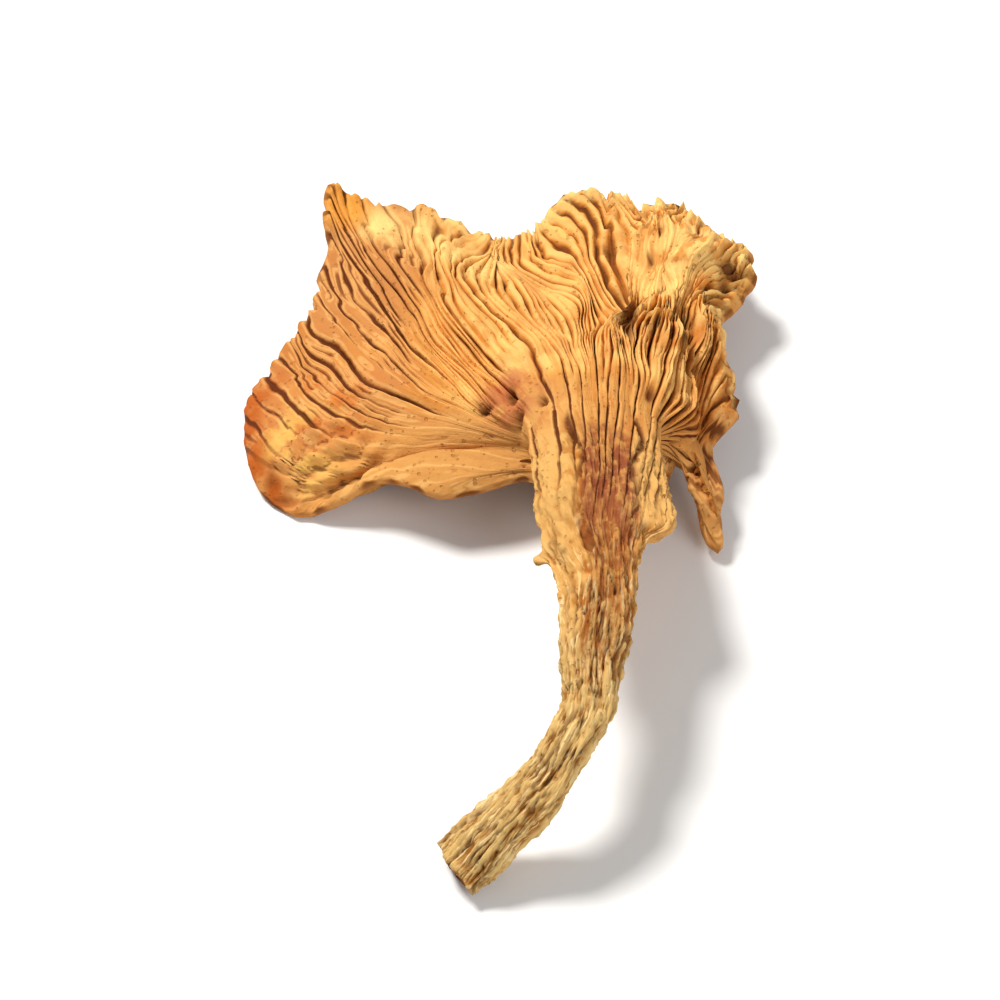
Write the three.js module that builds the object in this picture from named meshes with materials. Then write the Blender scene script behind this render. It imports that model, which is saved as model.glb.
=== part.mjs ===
// A single dried chanterelle mushroom, lying with its ridged underside up.
// Millimetres, +Z up. The long way of the mushroom runs along Y.
// One closed body: stem base -> stem -> ridged underside -> rim -> upper face of the cap.
import * as THREE from 'three';

// ---- driving dimensions (mm unless the name says otherwise) ----
const SHIFT = { x: 6.35, y: 3.71, z: -0.12 };  // puts the middle of the footprint at the origin
const NECK = { x: 0, y: 0, z: 6.6 };       // centre of the neck, where the stem leaves the cap
const NECK_DIR = { x: 0, y: -0.93, z: 0.37 };
const NECK_HALF_WIDTH = 4.0;
const NECK_HALF_DEPTH = 2.3;
const RIDGE_COUNT = 72;                    // ridges counted round the rim
const RIDGE_HEIGHT = 0.85;
const RIDGE_HEIGHT_RIM = 0.35;
const RIDGE_HEIGHT_NECK = 0.3;
const RIDGE_SWEEP = 0.115;                 // share of the rim
const BROAD_SHARE = 0.12;                  // share of the rim that the broad ridges gain
const FLESH_CENTRE = 1.25;                 // thickness of the cap under the valleys
const FLESH_NECK = 0.85;
const FLESH_RIM = 0.75;
const DIMPLE_DEPTH = 1.4;                  // how far the cap's funnel reaches into the neck
const FLARE_DOWN = 0.88;                   // how steeply the cap leaves the neck
const FLARE_OUT = 0.47;
const FLARE_OUT_TOP = 0.2;
const ROOT_BULGE = 0.75;                   // pull of the neck on the cap's profile
const RIM_PULL = 0.8;
const RIM_SQUARE = 0.6;                    // how squarely the ridges meet the rim
const CORNER_AT = 0.585;                   // far corner of the left lobe, share of the rim
const CORNER_WIDTH = 0.08;
const FOOT_ROUNDING = 0.45;
const FOOT_BULGE = 0.35;                   // rough end of the stem
const STEM_TWIST = 35;                     // degrees, neck to base
const WING_WIDTH = 0.5;                    // thin wing beside the neck, share of the stem's half width
const WING_END = 0.27;                     // share of the stem

// Rim outline, counter-clockwise from under the stem:
// x, y, z, angle on the neck (deg), curl of the edge (deg, + is up), strength of the ridges
const RIM = [
  [1.0, -3.6, 2.2, -90, 0, 0.3],
  [3.2, -2.8, 2.9, -55, 0, 0.3],
  [4.9, 1.9, 5.0, -32, 0, 0.3],
  [6.7, -1.9, 3.0, -23, -10, 0.3],
  [8.2, -5.1, 1.7, -18, -20, 0.3],
  [9.1, -5.0, 1.6, -13, -30, 0.3],
  [8.2, -1.1, 3.0, -7, -20, 0.4],
  [7.3, 1.8, 4.0, 0, -10, 0.6],
  [8.6, 4.0, 4.3, 5, -10, 0.8],
  [8.9, 7.4, 4.6, 11, 0, 1.0],
  [8.7, 12.0, 5.2, 26, 10, 1.1],
  [9.9, 16.8, 4.9, 44, 20, 1.2],
  [8.1, 21.2, 4.2, 58, 20, 1.2],
  [5.4, 25.7, 2.4, 72, 5, 1.2],
  [1.8, 25.0, 2.3, 82, 20, 1.1],
  [-1.8, 24.6, 2.9, 91, 30, 1.0],
  [-4.6, 22.6, 2.0, 98, 10, 1.0],
  [-7.8, 22.6, 1.7, 108, 0, 1.0],
  [-11.4, 23.6, 2.5, 119, 10, 1.0],
  [-14.8, 23.4, 3.7, 129, 25, 1.0],
  [-17.6, 24.0, 5.1, 137, 45, 1.0],
  [-17.9, 19.6, 3.3, 145, 25, 1.0],
  [-18.9, 16.2, 2.25, 154, 10, 1.0],
  [-20.8, 12.4, 1.5, 166, -10, 1.0],
  [-22.9, 8.8, 1.1, 177, -30, 0.7],
  [-23.2, 5.6, 0.7, 184, -40, 0.4],
  [-22.8, 1.5, 0.4, 192, -45, 0.25],
  [-21.0, -1.2, 0.4, 200, -35, 0.2],
  [-19.0, -1.6, 1.3, 206, -20, 0.15],
  [-17.0, -1.2, 2.6, 212, -10, 0.12],
  [-15.0, -0.8, 3.9, 218, -20, 0.12],
  [-12.4, -1.5, 4.1, 225, -20, 0.12],
  [-9.8, -2.5, 4.1, 232, -30, 0.12],
  [-7.2, -2.1, 4.1, 240, -20, 0.12],
  [-4.2, -1.3, 4.0, 250, -10, 0.2],
  [-1.6, -2.8, 3.1, 260, 0, 0.2],
];

// Stem from neck to base: x, y, z, half width, half depth
const STEM = [
  [0.0, 0.0, 6.6, 4.0, 2.3],
  [0.0, -3.4, 7.8, 3.9, 2.2],
  [-0.2, -6.8, 8.6, 3.75, 2.1],
  [-0.5, -11.0, 9.2, 3.2, 1.9],
  [0.0, -15.5, 9.3, 2.5, 1.8],
  [-0.2, -19.8, 8.8, 2.15, 1.7],
  [-0.9, -23.9, 7.8, 1.95, 1.6],
  [-2.6, -27.2, 6.3, 1.95, 1.5],
  [-5.0, -29.1, 4.45, 2.05, 1.5],
  [-7.5, -30.5, 2.4, 2.15, 1.5],
  [-9.2, -31.4, 1.0, 2.2, 1.5],
];

// Rows of the mesh, as shares of the way neck -> rim and neck -> stem base
const NECK_ROWS = [0.04, 0.09];
const CAP_ROWS = [0.15, 0.22, 0.3, 0.38, 0.46, 0.54, 0.62, 0.7, 0.78, 0.86, 0.93, 1.0];
const STEM_ROWS = [0.03, 0.07, 0.12, 0.18, 0.24, 0.31, 0.38, 0.45, 0.52, 0.59, 0.66];
const FOOT_ROWS = [0.72, 0.78, 0.84, 0.9, 0.95, 1.0, 1.01];
const RIDGE_COLUMNS = [0, 0.25, 0.75];     // one column in the valley, two on the crest
const ROUND = 36;                          // columns round the lower stem

// ---- small helpers ----
const vec = (x, y, z) => new THREE.Vector3(x, y, z);
const rad = (deg) => deg * Math.PI / 180;
const mod = (a, n) => ((a % n) + n) % n;
const mix = (a, b, f) => a + (b - a) * f;

function smooth(a, b, x) {
  const t = Math.min(1, Math.max(0, (x - a) / (b - a)));
  return t * t * (3 - 2 * t);
}

function bell(x, centre, width) {
  const d = (x - centre) / width;
  return Math.exp(-d * d);
}

// bell on a circle of degrees
function arcBell(deg, centre, width) {
  const d = mod(deg - centre + 180, 360) - 180;
  return bell(d, 0, width);
}

function randomFrom(seed) {
  let a = seed >>> 0;
  return () => {
    a = (a + 0x6d2b79f5) >>> 0;
    let t = a;
    t = Math.imul(t ^ (t >>> 15), t | 1);
    t ^= t + Math.imul(t ^ (t >>> 7), t | 61);
    return ((t ^ (t >>> 14)) >>> 0) / 4294967296;
  };
}

// smooth curve through rows of numbers, place q counted in rows
function curve(rows, q, closed) {
  const n = rows.length;
  let i = Math.floor(q);
  if (!closed) i = Math.min(n - 2, Math.max(0, i));
  const f = q - i;
  const row = (k) => {
    if (closed) return rows[mod(k, n)];
    if (k < 0) return rows[0].map((v, c) => 2 * v - rows[1][c]);
    if (k >= n) return rows[n - 1].map((v, c) => 2 * v - rows[n - 2][c]);
    return rows[k];
  };
  const [a, b, c, d] = [row(i - 1), row(i), row(i + 1), row(i + 2)];
  return b.map((v, k) => {
    const bend = 2 * a[k] - 5 * b[k] + 4 * c[k] - d[k];
    const twist = 3 * (b[k] - c[k]) + d[k] - a[k];
    return v + 0.5 * f * (c[k] - a[k] + f * (bend + f * twist));
  });
}

// ---- the rim as a curve by its own length ----
const TURN = 360 / RIM.length;
const RIM_FREE = RIM.map((r, i) => [r[0], r[1], r[2], r[3] - i * TURN, r[4], r[5]]);

function lengthTable(rows, closed, steps) {
  const last = closed ? rows.length : rows.length - 1;
  const table = [[0, 0]];
  let before = curve(rows, 0, closed);
  let total = 0;
  for (let i = 1; i <= steps; i += 1) {
    const q = last * i / steps;
    const now = curve(rows, q, closed);
    total += Math.hypot(now[0] - before[0], now[1] - before[1], now[2] - before[2]);
    table.push([total, q]);
    before = now;
  }
  return table;
}

function placeAt(table, share) {
  const want = share * table[table.length - 1][0];
  let lo = 0;
  let hi = table.length - 1;
  while (hi - lo > 1) {
    const m = (lo + hi) >> 1;
    if (table[m][0] <= want) lo = m;
    else hi = m;
  }
  const [a, b] = [table[lo], table[hi]];
  return mix(a[1], b[1], (want - a[0]) / Math.max(1e-9, b[0] - a[0]));
}

const RIM_TABLE = lengthTable(RIM_FREE, true, 1500);
const STEM_TABLE = lengthTable(STEM, false, 400);
const STEM_LENGTH = STEM_TABLE[STEM_TABLE.length - 1][0];

// u is the share of the way round the rim
function rimAt(u) {
  const q = placeAt(RIM_TABLE, mod(u, 1));
  const r = curve(RIM_FREE, q, true);
  return { p: vec(r[0], r[1], r[2]), root: r[3] + q * TURN, curl: rad(r[4]), ridge: r[5] };
}

// ---- neck axes ----
const D0 = vec(NECK_DIR.x, NECK_DIR.y, NECK_DIR.z).normalize();
const E1 = vec(1, 0, 0);
const E2 = new THREE.Vector3().crossVectors(D0, E1);
const S0 = vec(NECK.x, NECK.y, NECK.z);

// ---- soft crumpling of the whole body, a sum of slow waves in space ----
function waves(seed, count, length) {
  const next = randomFrom(seed);
  const out = [];
  for (let i = 0; i < count; i += 1) {
    const k = vec(next() * 2 - 1, next() * 2 - 1, next() * 2 - 1).normalize();
    const way = vec(next() * 2 - 1, next() * 2 - 1, next() * 2 - 1).normalize();
    k.multiplyScalar(2 * Math.PI / (length * (0.75 + 0.5 * next())));
    out.push({ k, way: way.divideScalar(Math.sqrt(count / 2)), phase: next() * 2 * Math.PI });
  }
  return out;
}

const BIG = waves(11, 6, 15);
const MID = waves(23, 8, 7.5);
const FINE = waves(37, 10, 3.6);

function ripple(p, set) {
  const out = vec(0, 0, 0);
  for (const w of set) out.addScaledVector(w.way, Math.sin(p.dot(w.k) + w.phase));
  return out;
}

function crumple(p, big, mid, fine) {
  const q = p.clone();
  q.addScaledVector(ripple(p, BIG), big);
  q.addScaledVector(ripple(p, MID), mid);
  q.addScaledVector(ripple(p, FINE), fine);
  return q;
}

// ---- ridges: where the valleys between them lie ----
const draw = randomFrom(5);
const VALLEYS = [];
for (let j = 0; j < RIDGE_COUNT; j += 1) {
  const jitter = (draw() - 0.5) * 0.4;
  const late = draw();
  let start = -9;
  if (j % 4 === 2) start = 0.03 + 0.22 * late;
  if (j % 4 === 1 || j % 4 === 3) start = 0.25 + 0.45 * late;
  VALLEYS.push({ jitter, start, height: 0.75 + 0.45 * draw() });
}

function sway(u, t) {
  const a = Math.sin(2 * Math.PI * (3 * u + 0.9 * t));
  const b = Math.sin(2 * Math.PI * (7 * u - 1.7 * t + 0.3));
  const c = Math.sin(2 * Math.PI * (19 * u + 3.1 * t));
  return (0.6 * a + 0.35 * b + 0.1 * c) * smooth(0, 0.3, t);
}

// ridges are broad on the far side of the left lobe and narrower everywhere else
function spread(v) {
  return (v + BROAD_SHARE * smooth(0.57, 0.69, v)) / (1 + BROAD_SHARE);
}

// on the left lobe the ridges sweep towards the far corner as they near the rim
function sweep(u, t) {
  const lobe = smooth(0.5, 0.74, u) * (1 - smooth(0.78, 0.94, u));
  return -RIDGE_SWEEP * lobe * Math.pow(smooth(-0.3, 1.25, t), 2);
}

// x in ridges round the rim -> share round the rim
function ridgeToRim(x, t) {
  const j = Math.floor(x);
  const f = x - j;
  const a = VALLEYS[mod(j, RIDGE_COUNT)].jitter;
  const b = VALLEYS[mod(j + 1, RIDGE_COUNT)].jitter;
  const turns = Math.floor((x + mix(a, b, f)) / RIDGE_COUNT);
  const flat = turns + spread((x + mix(a, b, f)) / RIDGE_COUNT - turns);
  return flat + sway(flat, t) / RIDGE_COUNT + sweep(flat, t);
}

// 1 on a crest, 0 in an open valley
function ridgeProfile(x, t, sharp) {
  const j = Math.floor(x);
  const f = x - j;
  const near = VALLEYS[mod(f < 0.5 ? j : j + 1, RIDGE_COUNT)];
  const open = smooth(near.start, near.start + 0.14, t);
  const crest = VALLEYS[mod(j, RIDGE_COUNT)].height;
  return (1 - open * Math.pow(Math.abs(2 * f - 1), sharp)) * crest;
}

// ---- cap ----
// level direction that stands square to the rim
function rimSquare(u) {
  const along = rimAt(u + 0.012).p.sub(rimAt(u - 0.012).p);
  return vec(along.y, -along.x, 0).normalize();
}

// smooth sheet of the cap: a bent line from the neck to the rim for every place u
function sheetPoint(u, t) {
  const r = rimAt(u);
  const root = rad(r.root);
  const radial = E1.clone().multiplyScalar(Math.cos(root)).addScaledVector(E2, Math.sin(root));
  const p0 = S0.clone().addScaledVector(E1, NECK_HALF_WIDTH * Math.cos(root));
  p0.addScaledVector(E2, NECK_HALF_DEPTH * Math.sin(root));
  const chord = r.p.clone().sub(p0);
  const reach = chord.length();
  const square = RIM_SQUARE * (1 - 0.85 * bell(mod(u, 1), CORNER_AT, CORNER_WIDTH));
  const flat = vec(chord.x, chord.y, 0).normalize().lerp(rimSquare(u), square).normalize();
  const near = r.root < 90 ? smooth(-8, -36, r.root) : smooth(200, 245, r.root);
  const from = D0.clone().multiplyScalar(-mix(FLARE_DOWN, 0.15, near));
  const flare = mix(FLARE_OUT, FLARE_OUT_TOP, arcBell(r.root, 90, 50));
  from.addScaledVector(radial, mix(flare, 0.85, near));
  const to = flat.multiplyScalar(Math.cos(r.curl)).add(vec(0, 0, Math.sin(r.curl)));
  const t2 = t * t;
  const t3 = t2 * t;
  const p = p0.multiplyScalar(2 * t3 - 3 * t2 + 1);
  p.addScaledVector(from, (t3 - 2 * t2 + t) * reach * ROOT_BULGE);
  p.addScaledVector(r.p, 3 * t2 - 2 * t3);
  p.addScaledVector(to, (t3 - t2) * reach * RIM_PULL);
  return { p, reach, ridge: r.ridge, root: r.root };
}

// the sheet with its own axes: up stands on it, out points over the nearest edge
function sheetFrame(u, t) {
  const f = sheetPoint(u, t);
  const du = mix(0.008, 0.025, smooth(8, 14, f.reach));
  const along = sheetPoint(u + du, t).p.sub(sheetPoint(u - du, t).p).normalize();
  const across = sheetPoint(u, Math.min(1, t + 0.03)).p.sub(sheetPoint(u, t - 0.05).p);
  f.up = across.cross(along).normalize();
  f.out = along.cross(f.up);
  return f;
}

// height of the sheet's own folds, strongest on the right and far side
function folds(u, t, f) {
  const right = smooth(-4, 7, f.p.x);
  const room = smooth(2, 14, f.reach) * (f.root < 90 ? smooth(-20, 15, f.root) : 1);
  const ring = Math.sin(2 * Math.PI * (2.1 * t + 0.004 * f.root + 0.35)) * smooth(0.1, 0.5, t);
  const wrinkle = Math.sin(2 * Math.PI * (17 * u + 0.8 * t)) * smooth(0.2, 0.9, t);
  const wavy = Math.sin(2 * Math.PI * (9 * u + 0.3)) * smooth(0.3, 1, t);
  return room * (right * (0.85 * ring + 0.6 * wrinkle) + 0.2 * wavy);
}

function reliefHeight(t, strength) {
  const rise = mix(RIDGE_HEIGHT_NECK, RIDGE_HEIGHT, smooth(0, 0.25, t));
  return mix(rise, RIDGE_HEIGHT_RIM, smooth(0.72, 1, t)) * strength;
}

function capCrumple(p, t) {
  const a = smooth(0, 0.45, t);
  const right = smooth(-3, 7, p.x);
  return crumple(p, 0.3 * a, (0.2 + 0.35 * right) * a, (0.05 + 0.13 * right) * a);
}

// underside, x counted in ridges
function ridgedPoint(x, t) {
  const u = ridgeToRim(x, t);
  const f = sheetFrame(u, t);
  const sharp = mix(3.2, 1.8, smooth(-4, 6, f.p.x));
  const crest = ridgeProfile(x, t, sharp);
  const room = mix(0.45, 1, smooth(3, 11, f.reach));
  const h = reliefHeight(t, f.ridge * room) * crest + folds(u, t, f);
  f.p.addScaledVector(f.up, h);
  f.p.addScaledVector(f.out, 0.45 * (crest - 0.6) * smooth(0.9, 1, t) * f.ridge);
  return capCrumple(f.p, t);
}

// upper face of the cap (towards the table)
function facePoint(u, t) {
  const f = sheetFrame(u, t);
  const inner = mix(FLESH_NECK, FLESH_CENTRE, smooth(0, 0.35, t));
  const flesh = mix(inner, FLESH_RIM, smooth(0.2, 1, t));
  const thin = mix(0.62, 1, smooth(2, 8, f.reach));
  f.p.addScaledVector(f.up, folds(u, t, f) - Math.max(FLESH_RIM, flesh * thin));
  return capCrumple(f.p, t);
}

function edgePoint(u) {
  const f = sheetFrame(u, 1);
  f.p.addScaledVector(f.up, folds(u, 1, f) - 0.35 * FLESH_RIM);
  f.p.addScaledVector(f.out, 0.25);
  return capCrumple(f.p, 1);
}

// ---- stem ----
function stemFrames() {
  const out = [];
  let e1 = E1.clone();
  for (let i = 0; i <= 200; i += 1) {
    const s = i / 200;
    const q = placeAt(STEM_TABLE, s);
    const a = curve(STEM, q, false);
    const b = curve(STEM, Math.min(STEM.length - 1, q + 0.02), false);
    const c = curve(STEM, Math.max(0, q - 0.02), false);
    const way = vec(b[0] - c[0], b[1] - c[1], b[2] - c[2]).normalize();
    way.lerp(D0, 1 - smooth(0, 0.12, s)).normalize();
    e1 = e1.clone().addScaledVector(way, -e1.dot(way)).normalize();
    out.push({ p: vec(a[0], a[1], a[2]), w: a[3], d: a[4], way, e1 });
  }
  return out;
}
const STEM_FRAMES = stemFrames();

function stemFrameAt(s) {
  const x = Math.min(199.999, Math.max(0, s * 200));
  const i = Math.floor(x);
  const [a, b] = [STEM_FRAMES[i], STEM_FRAMES[i + 1]];
  const f = x - i;
  const way = a.way.clone().lerp(b.way, f).normalize();
  const e1 = a.e1.clone().lerp(b.e1, f);
  e1.addScaledVector(way, -e1.dot(way)).normalize();
  const e2 = new THREE.Vector3().crossVectors(way, e1);
  return { p: a.p.clone().lerp(b.p, f), w: mix(a.w, b.w, f), d: mix(a.d, b.d, f), way, e1, e2 };
}

// swelling and hollows of the stem's section, deg is the place round it
function stemSection(deg, s) {
  const top = arcBell(deg, 82, 22) * smooth(0, 0.1, s) * (1 - 0.6 * smooth(0.35, 0.7, s));
  const side = arcBell(deg, 215, 28) * smooth(0.05, 0.3, s);
  const wing = arcBell(deg, -8, 20) * Math.min(1, s / WING_END) ** 2 * (1 - smooth(WING_END, 0.35, s));
  const ribs = Math.sin(rad(5 * deg + 40)) + 0.8 * Math.sin(rad(8 * deg) + 6 * s);
  return 1 - 0.28 * top - 0.24 * side + WING_WIDTH * wing + 0.045 * ribs * smooth(0.05, 0.3, s);
}

function stemPoint(deg, s, relief) {
  const f = stemFrameAt(s);
  const roll = rad(STEM_TWIST) * smooth(0.1, 1, s);
  const k = stemSection(deg, s);
  const x = f.w * Math.cos(rad(deg)) * k + relief * Math.cos(rad(deg));
  const y = f.d * Math.sin(rad(deg)) * k + relief * Math.sin(rad(deg));
  f.p.addScaledVector(f.e1, x * Math.cos(roll) - y * Math.sin(roll));
  f.p.addScaledVector(f.e2, x * Math.sin(roll) + y * Math.cos(roll));
  const a = smooth(0, 0.3, s);
  return crumple(f.p, 0.3 * a, 0.2 * a, 0.06 * a);
}

// ridges running down onto the neck
function neckPoint(x, s) {
  const u = ridgeToRim(x, 0);
  const r = rimAt(u);
  const crest = ridgeProfile(x, 0, 2.2);
  const fade = 1 - smooth(0, 0.34, s);
  return stemPoint(r.root, s, RIDGE_HEIGHT_NECK * r.ridge * crest * fade);
}

// ---- mesh ----
const points = [];
const faces = [];

function addRing(list) {
  return list.map(({ p, key }) => {
    points.push(p);
    return { at: points.length - 1, key };
  });
}

// joins two rings of any counts; keys are turns and rise with the place in the ring
function stitch(low, high) {
  const [n, m] = [low.length, high.length];
  const keyOf = (ring, i) => ring[i % ring.length].key + Math.floor(i / ring.length);
  let i = 0;
  let j = 0;
  while (i < n || j < m) {
    const a = low[i % n].at;
    const b = high[j % m].at;
    const nextLow = i < n ? keyOf(low, i + 1) : Infinity;
    const nextHigh = j < m ? keyOf(high, j + 1) : Infinity;
    if (nextLow < nextHigh) {
      faces.push([a, b, low[(i + 1) % n].at]);
      i += 1;
    } else {
      faces.push([a, b, high[(j + 1) % m].at]);
      j += 1;
    }
  }
}

function closeRing(ring, at, flip) {
  ring.forEach((v, i) => {
    const w = ring[(i + 1) % ring.length];
    faces.push(flip ? [v.at, w.at, at] : [v.at, at, w.at]);
  });
}

function ringOf(count, make) {
  const list = [];
  for (let i = 0; i < count; i += 1) list.push(make(i));
  return addRing(list);
}

// key of a place round the neck
const neckKey = (deg) => (deg + 90) / 360;

function footRing(s) {
  const end = stemFrameAt(1);
  return ringOf(ROUND, (i) => {
    const deg = -90 + 360 * i / ROUND;
    const p = stemPoint(deg, Math.min(1, s), 0);
    if (s > 1) p.lerp(end.p, FOOT_ROUNDING).addScaledVector(end.way, FOOT_BULGE);
    return { p, key: neckKey(deg) };
  });
}

function stemRing(s) {
  return ringOf(RIDGE_COUNT, (i) => {
    const deg = rimAt(ridgeToRim(i, 0)).root;
    return { p: neckPoint(i, s), key: neckKey(deg) };
  });
}

function neckRing() {
  return ringOf(RIDGE_COUNT, (i) => {
    return { p: ridgedPoint(i, 0), key: neckKey(rimAt(ridgeToRim(i, 0)).root) };
  });
}

function capRing(t) {
  if (t < CAP_ROWS[0]) {
    return ringOf(RIDGE_COUNT, (i) => ({ p: ridgedPoint(i, t), key: i / RIDGE_COUNT }));
  }
  return ringOf(RIDGE_COUNT * 3, (i) => {
    const x = Math.floor(i / 3) + RIDGE_COLUMNS[i % 3];
    return { p: ridgedPoint(x, t), key: x / RIDGE_COUNT };
  });
}

function edgeRing() {
  const twice = RIDGE_COUNT * 2;
  return ringOf(twice, (i) => ({ p: edgePoint(ridgeToRim(i / 2, 1)), key: i / twice }));
}

function faceRing(t) {
  return ringOf(RIDGE_COUNT, (i) => {
    return { p: facePoint(ridgeToRim(i, t), t), key: i / RIDGE_COUNT };
  });
}

function buildBody() {
  const foot = [...FOOT_ROWS].reverse().map(footRing);
  const stem = [...STEM_ROWS].reverse().map(stemRing);
  const neck = neckRing();
  const byRidge = neck.map((v, i) => ({ at: v.at, key: i / RIDGE_COUNT }));
  const rows = [...NECK_ROWS, ...CAP_ROWS];
  const cap = rows.map(capRing);
  const face = [...rows].reverse().map(faceRing);
  const lower = [...foot, ...stem, neck];
  const upper = [byRidge, ...cap, edgeRing(), ...face];
  for (let k = 0; k + 1 < lower.length; k += 1) stitch(lower[k], lower[k + 1]);
  for (let k = 0; k + 1 < upper.length; k += 1) stitch(upper[k], upper[k + 1]);
  const end = stemFrameAt(1);
  points.push(end.p.clone().addScaledVector(end.way, 0.8 * FOOT_BULGE));
  closeRing(foot[0], points.length - 1, true);
  points.push(S0.clone().addScaledVector(D0, DIMPLE_DEPTH));
  closeRing(face[face.length - 1], points.length - 1, false);
}
buildBody();

function toGeometry() {
  const flat = [];
  for (const p of points) {
    flat.push(p.x + SHIFT.x, p.y + SHIFT.y, Math.max(0, p.z + SHIFT.z));
  }
  const geometry = new THREE.BufferGeometry();
  geometry.setAttribute('position', new THREE.Float32BufferAttribute(flat, 3));
  geometry.setIndex(faces.flat());
  geometry.computeVertexNormals();
  return geometry;
}

const flesh = new THREE.MeshStandardMaterial({ color: 0xc98a3a, roughness: 0.85, metalness: 0 });
flesh.name = 'dried_flesh';
const mushroom = new THREE.Mesh(toGeometry(), flesh);
mushroom.name = 'mushroom';

const group = new THREE.Group();
group.name = 'dried_chanterelle';
group.add(mushroom);

export default group;
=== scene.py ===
# %% [markdown]
# A dried chanterelle, lying with its ridged underside up. This first cell loads the packed solid as a fixed
# frame. Everything built below stands in the same place and in the same metres, so nothing is fitted later.

# %% Load the frame
import math

import bpy
import numpy as np
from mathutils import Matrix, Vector


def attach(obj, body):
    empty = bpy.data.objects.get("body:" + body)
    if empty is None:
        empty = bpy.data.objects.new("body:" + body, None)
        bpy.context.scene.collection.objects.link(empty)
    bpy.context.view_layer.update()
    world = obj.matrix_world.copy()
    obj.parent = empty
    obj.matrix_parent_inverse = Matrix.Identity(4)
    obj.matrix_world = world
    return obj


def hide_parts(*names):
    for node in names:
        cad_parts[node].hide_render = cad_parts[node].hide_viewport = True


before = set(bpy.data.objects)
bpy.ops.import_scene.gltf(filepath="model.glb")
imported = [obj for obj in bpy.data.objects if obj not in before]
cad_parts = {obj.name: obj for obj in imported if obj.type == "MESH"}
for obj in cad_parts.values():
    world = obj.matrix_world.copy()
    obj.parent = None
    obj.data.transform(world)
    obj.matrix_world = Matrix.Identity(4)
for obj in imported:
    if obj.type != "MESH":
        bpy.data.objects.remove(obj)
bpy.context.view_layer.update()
MM = 0.001
print("frame nodes:", list(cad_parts))

# %% [markdown]
# The mushroom is one thin sheet of flesh that fans out of a neck, plus a stem. Its outline can't be guessed
# by a formula, so it is given as two short tables of sizes: places along the rim of the cap, and places along
# the stem. Everything between them follows rules.

# %% The rim and the stem in numbers
# rim: x, y, z (mm from the neck), angle on the neck (deg), curl of the edge (deg), strength of the ridges
RIM = np.array([
    (1.0, -3.6, 2.2, -90, 0, 0.3), (3.2, -2.8, 2.9, -55, 0, 0.3), (4.9, 1.9, 5.0, -32, 0, 0.3),
    (6.7, -1.9, 3.0, -23, -10, 0.3), (8.2, -5.1, 1.7, -18, -20, 0.3), (9.1, -5.0, 1.6, -13, -30, 0.3),
    (8.2, -1.1, 3.0, -7, -20, 0.4), (7.3, 1.8, 4.0, 0, -10, 0.6), (8.6, 4.0, 4.3, 5, -10, 0.8),
    (8.9, 7.4, 4.6, 11, 0, 1.0), (8.7, 12.0, 5.2, 26, 10, 1.1), (9.9, 16.8, 4.9, 44, 20, 1.2),
    (8.1, 21.2, 4.2, 58, 20, 1.2), (5.4, 25.7, 2.4, 72, 5, 1.2), (1.8, 25.0, 2.3, 82, 20, 1.1),
    (-1.8, 24.6, 2.9, 91, 30, 1.0), (-4.6, 22.6, 2.0, 98, 10, 1.0), (-7.8, 22.6, 1.7, 108, 0, 1.0),
    (-11.4, 23.6, 2.5, 119, 10, 1.0), (-14.8, 23.4, 3.7, 129, 25, 1.0), (-17.6, 24.0, 5.1, 137, 45, 1.0),
    (-17.9, 19.6, 3.3, 145, 25, 1.0), (-18.9, 16.2, 2.25, 154, 10, 1.0), (-20.8, 12.4, 1.5, 166, -10, 1.0),
    (-22.9, 8.8, 1.1, 177, -30, 0.7), (-23.2, 5.6, 0.7, 184, -40, 0.4), (-22.8, 1.5, 0.4, 192, -45, 0.25),
    (-21.0, -1.2, 0.4, 200, -35, 0.2), (-19.0, -1.6, 1.3, 206, -20, 0.15), (-17.0, -1.2, 2.6, 212, -10, 0.12),
    (-15.0, -0.8, 3.9, 218, -20, 0.12), (-12.4, -1.5, 4.1, 225, -20, 0.12), (-9.8, -2.5, 4.1, 232, -30, 0.12),
    (-7.2, -2.1, 4.1, 240, -20, 0.12), (-4.2, -1.3, 4.0, 250, -10, 0.2), (-1.6, -2.8, 3.1, 260, 0, 0.2),
])
# stem from neck to base: x, y, z, half width, half depth (mm)
STEM = np.array([
    (0.0, 0.0, 6.6, 4.0, 2.3), (0.0, -3.4, 7.8, 3.9, 2.2), (-0.2, -6.8, 8.6, 3.75, 2.1),
    (-0.5, -11.0, 9.2, 3.2, 1.9), (0.0, -15.5, 9.3, 2.5, 1.8), (-0.2, -19.8, 8.8, 2.15, 1.7),
    (-0.9, -23.9, 7.8, 1.95, 1.6), (-2.6, -27.2, 6.3, 1.95, 1.5), (-5.0, -29.1, 4.45, 2.05, 1.5),
    (-7.5, -30.5, 2.4, 2.15, 1.5), (-9.2, -31.4, 1.0, 2.2, 1.5),
])
SHIFT = np.array((6.35, 3.71, -0.12))        # puts the middle of the footprint at the origin
NECK = np.array((0.0, 0.0, 6.6))
NECK_DIR = np.array((0.0, -0.93, 0.37)) / math.hypot(0.93, 0.37)
NECK_HALF_WIDTH, NECK_HALF_DEPTH = 4.0, 2.3
RIDGES = 72                                  # ridges counted round the rim
RIDGE_HEIGHT, RIDGE_HEIGHT_RIM, RIDGE_HEIGHT_NECK = 0.85, 0.35, 0.3
NECK_STRANDS = 0.55                          # height of the ridges that run down the neck
FLESH_CENTRE, FLESH_NECK, FLESH_RIM = 1.25, 0.85, 0.75
DIMPLE_DEPTH = 1.4
FLARE_DOWN, FLARE_OUT, FLARE_OUT_TOP = 0.88, 0.47, 0.2          # how the sheet leaves the neck,
NEAR_DOWN, NEAR_OUT = 0.15, 0.85             # and how it does so on the near side
ROOT_BULGE, RIM_PULL, RIM_SQUARE = 0.75, 0.8, 0.6
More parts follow.
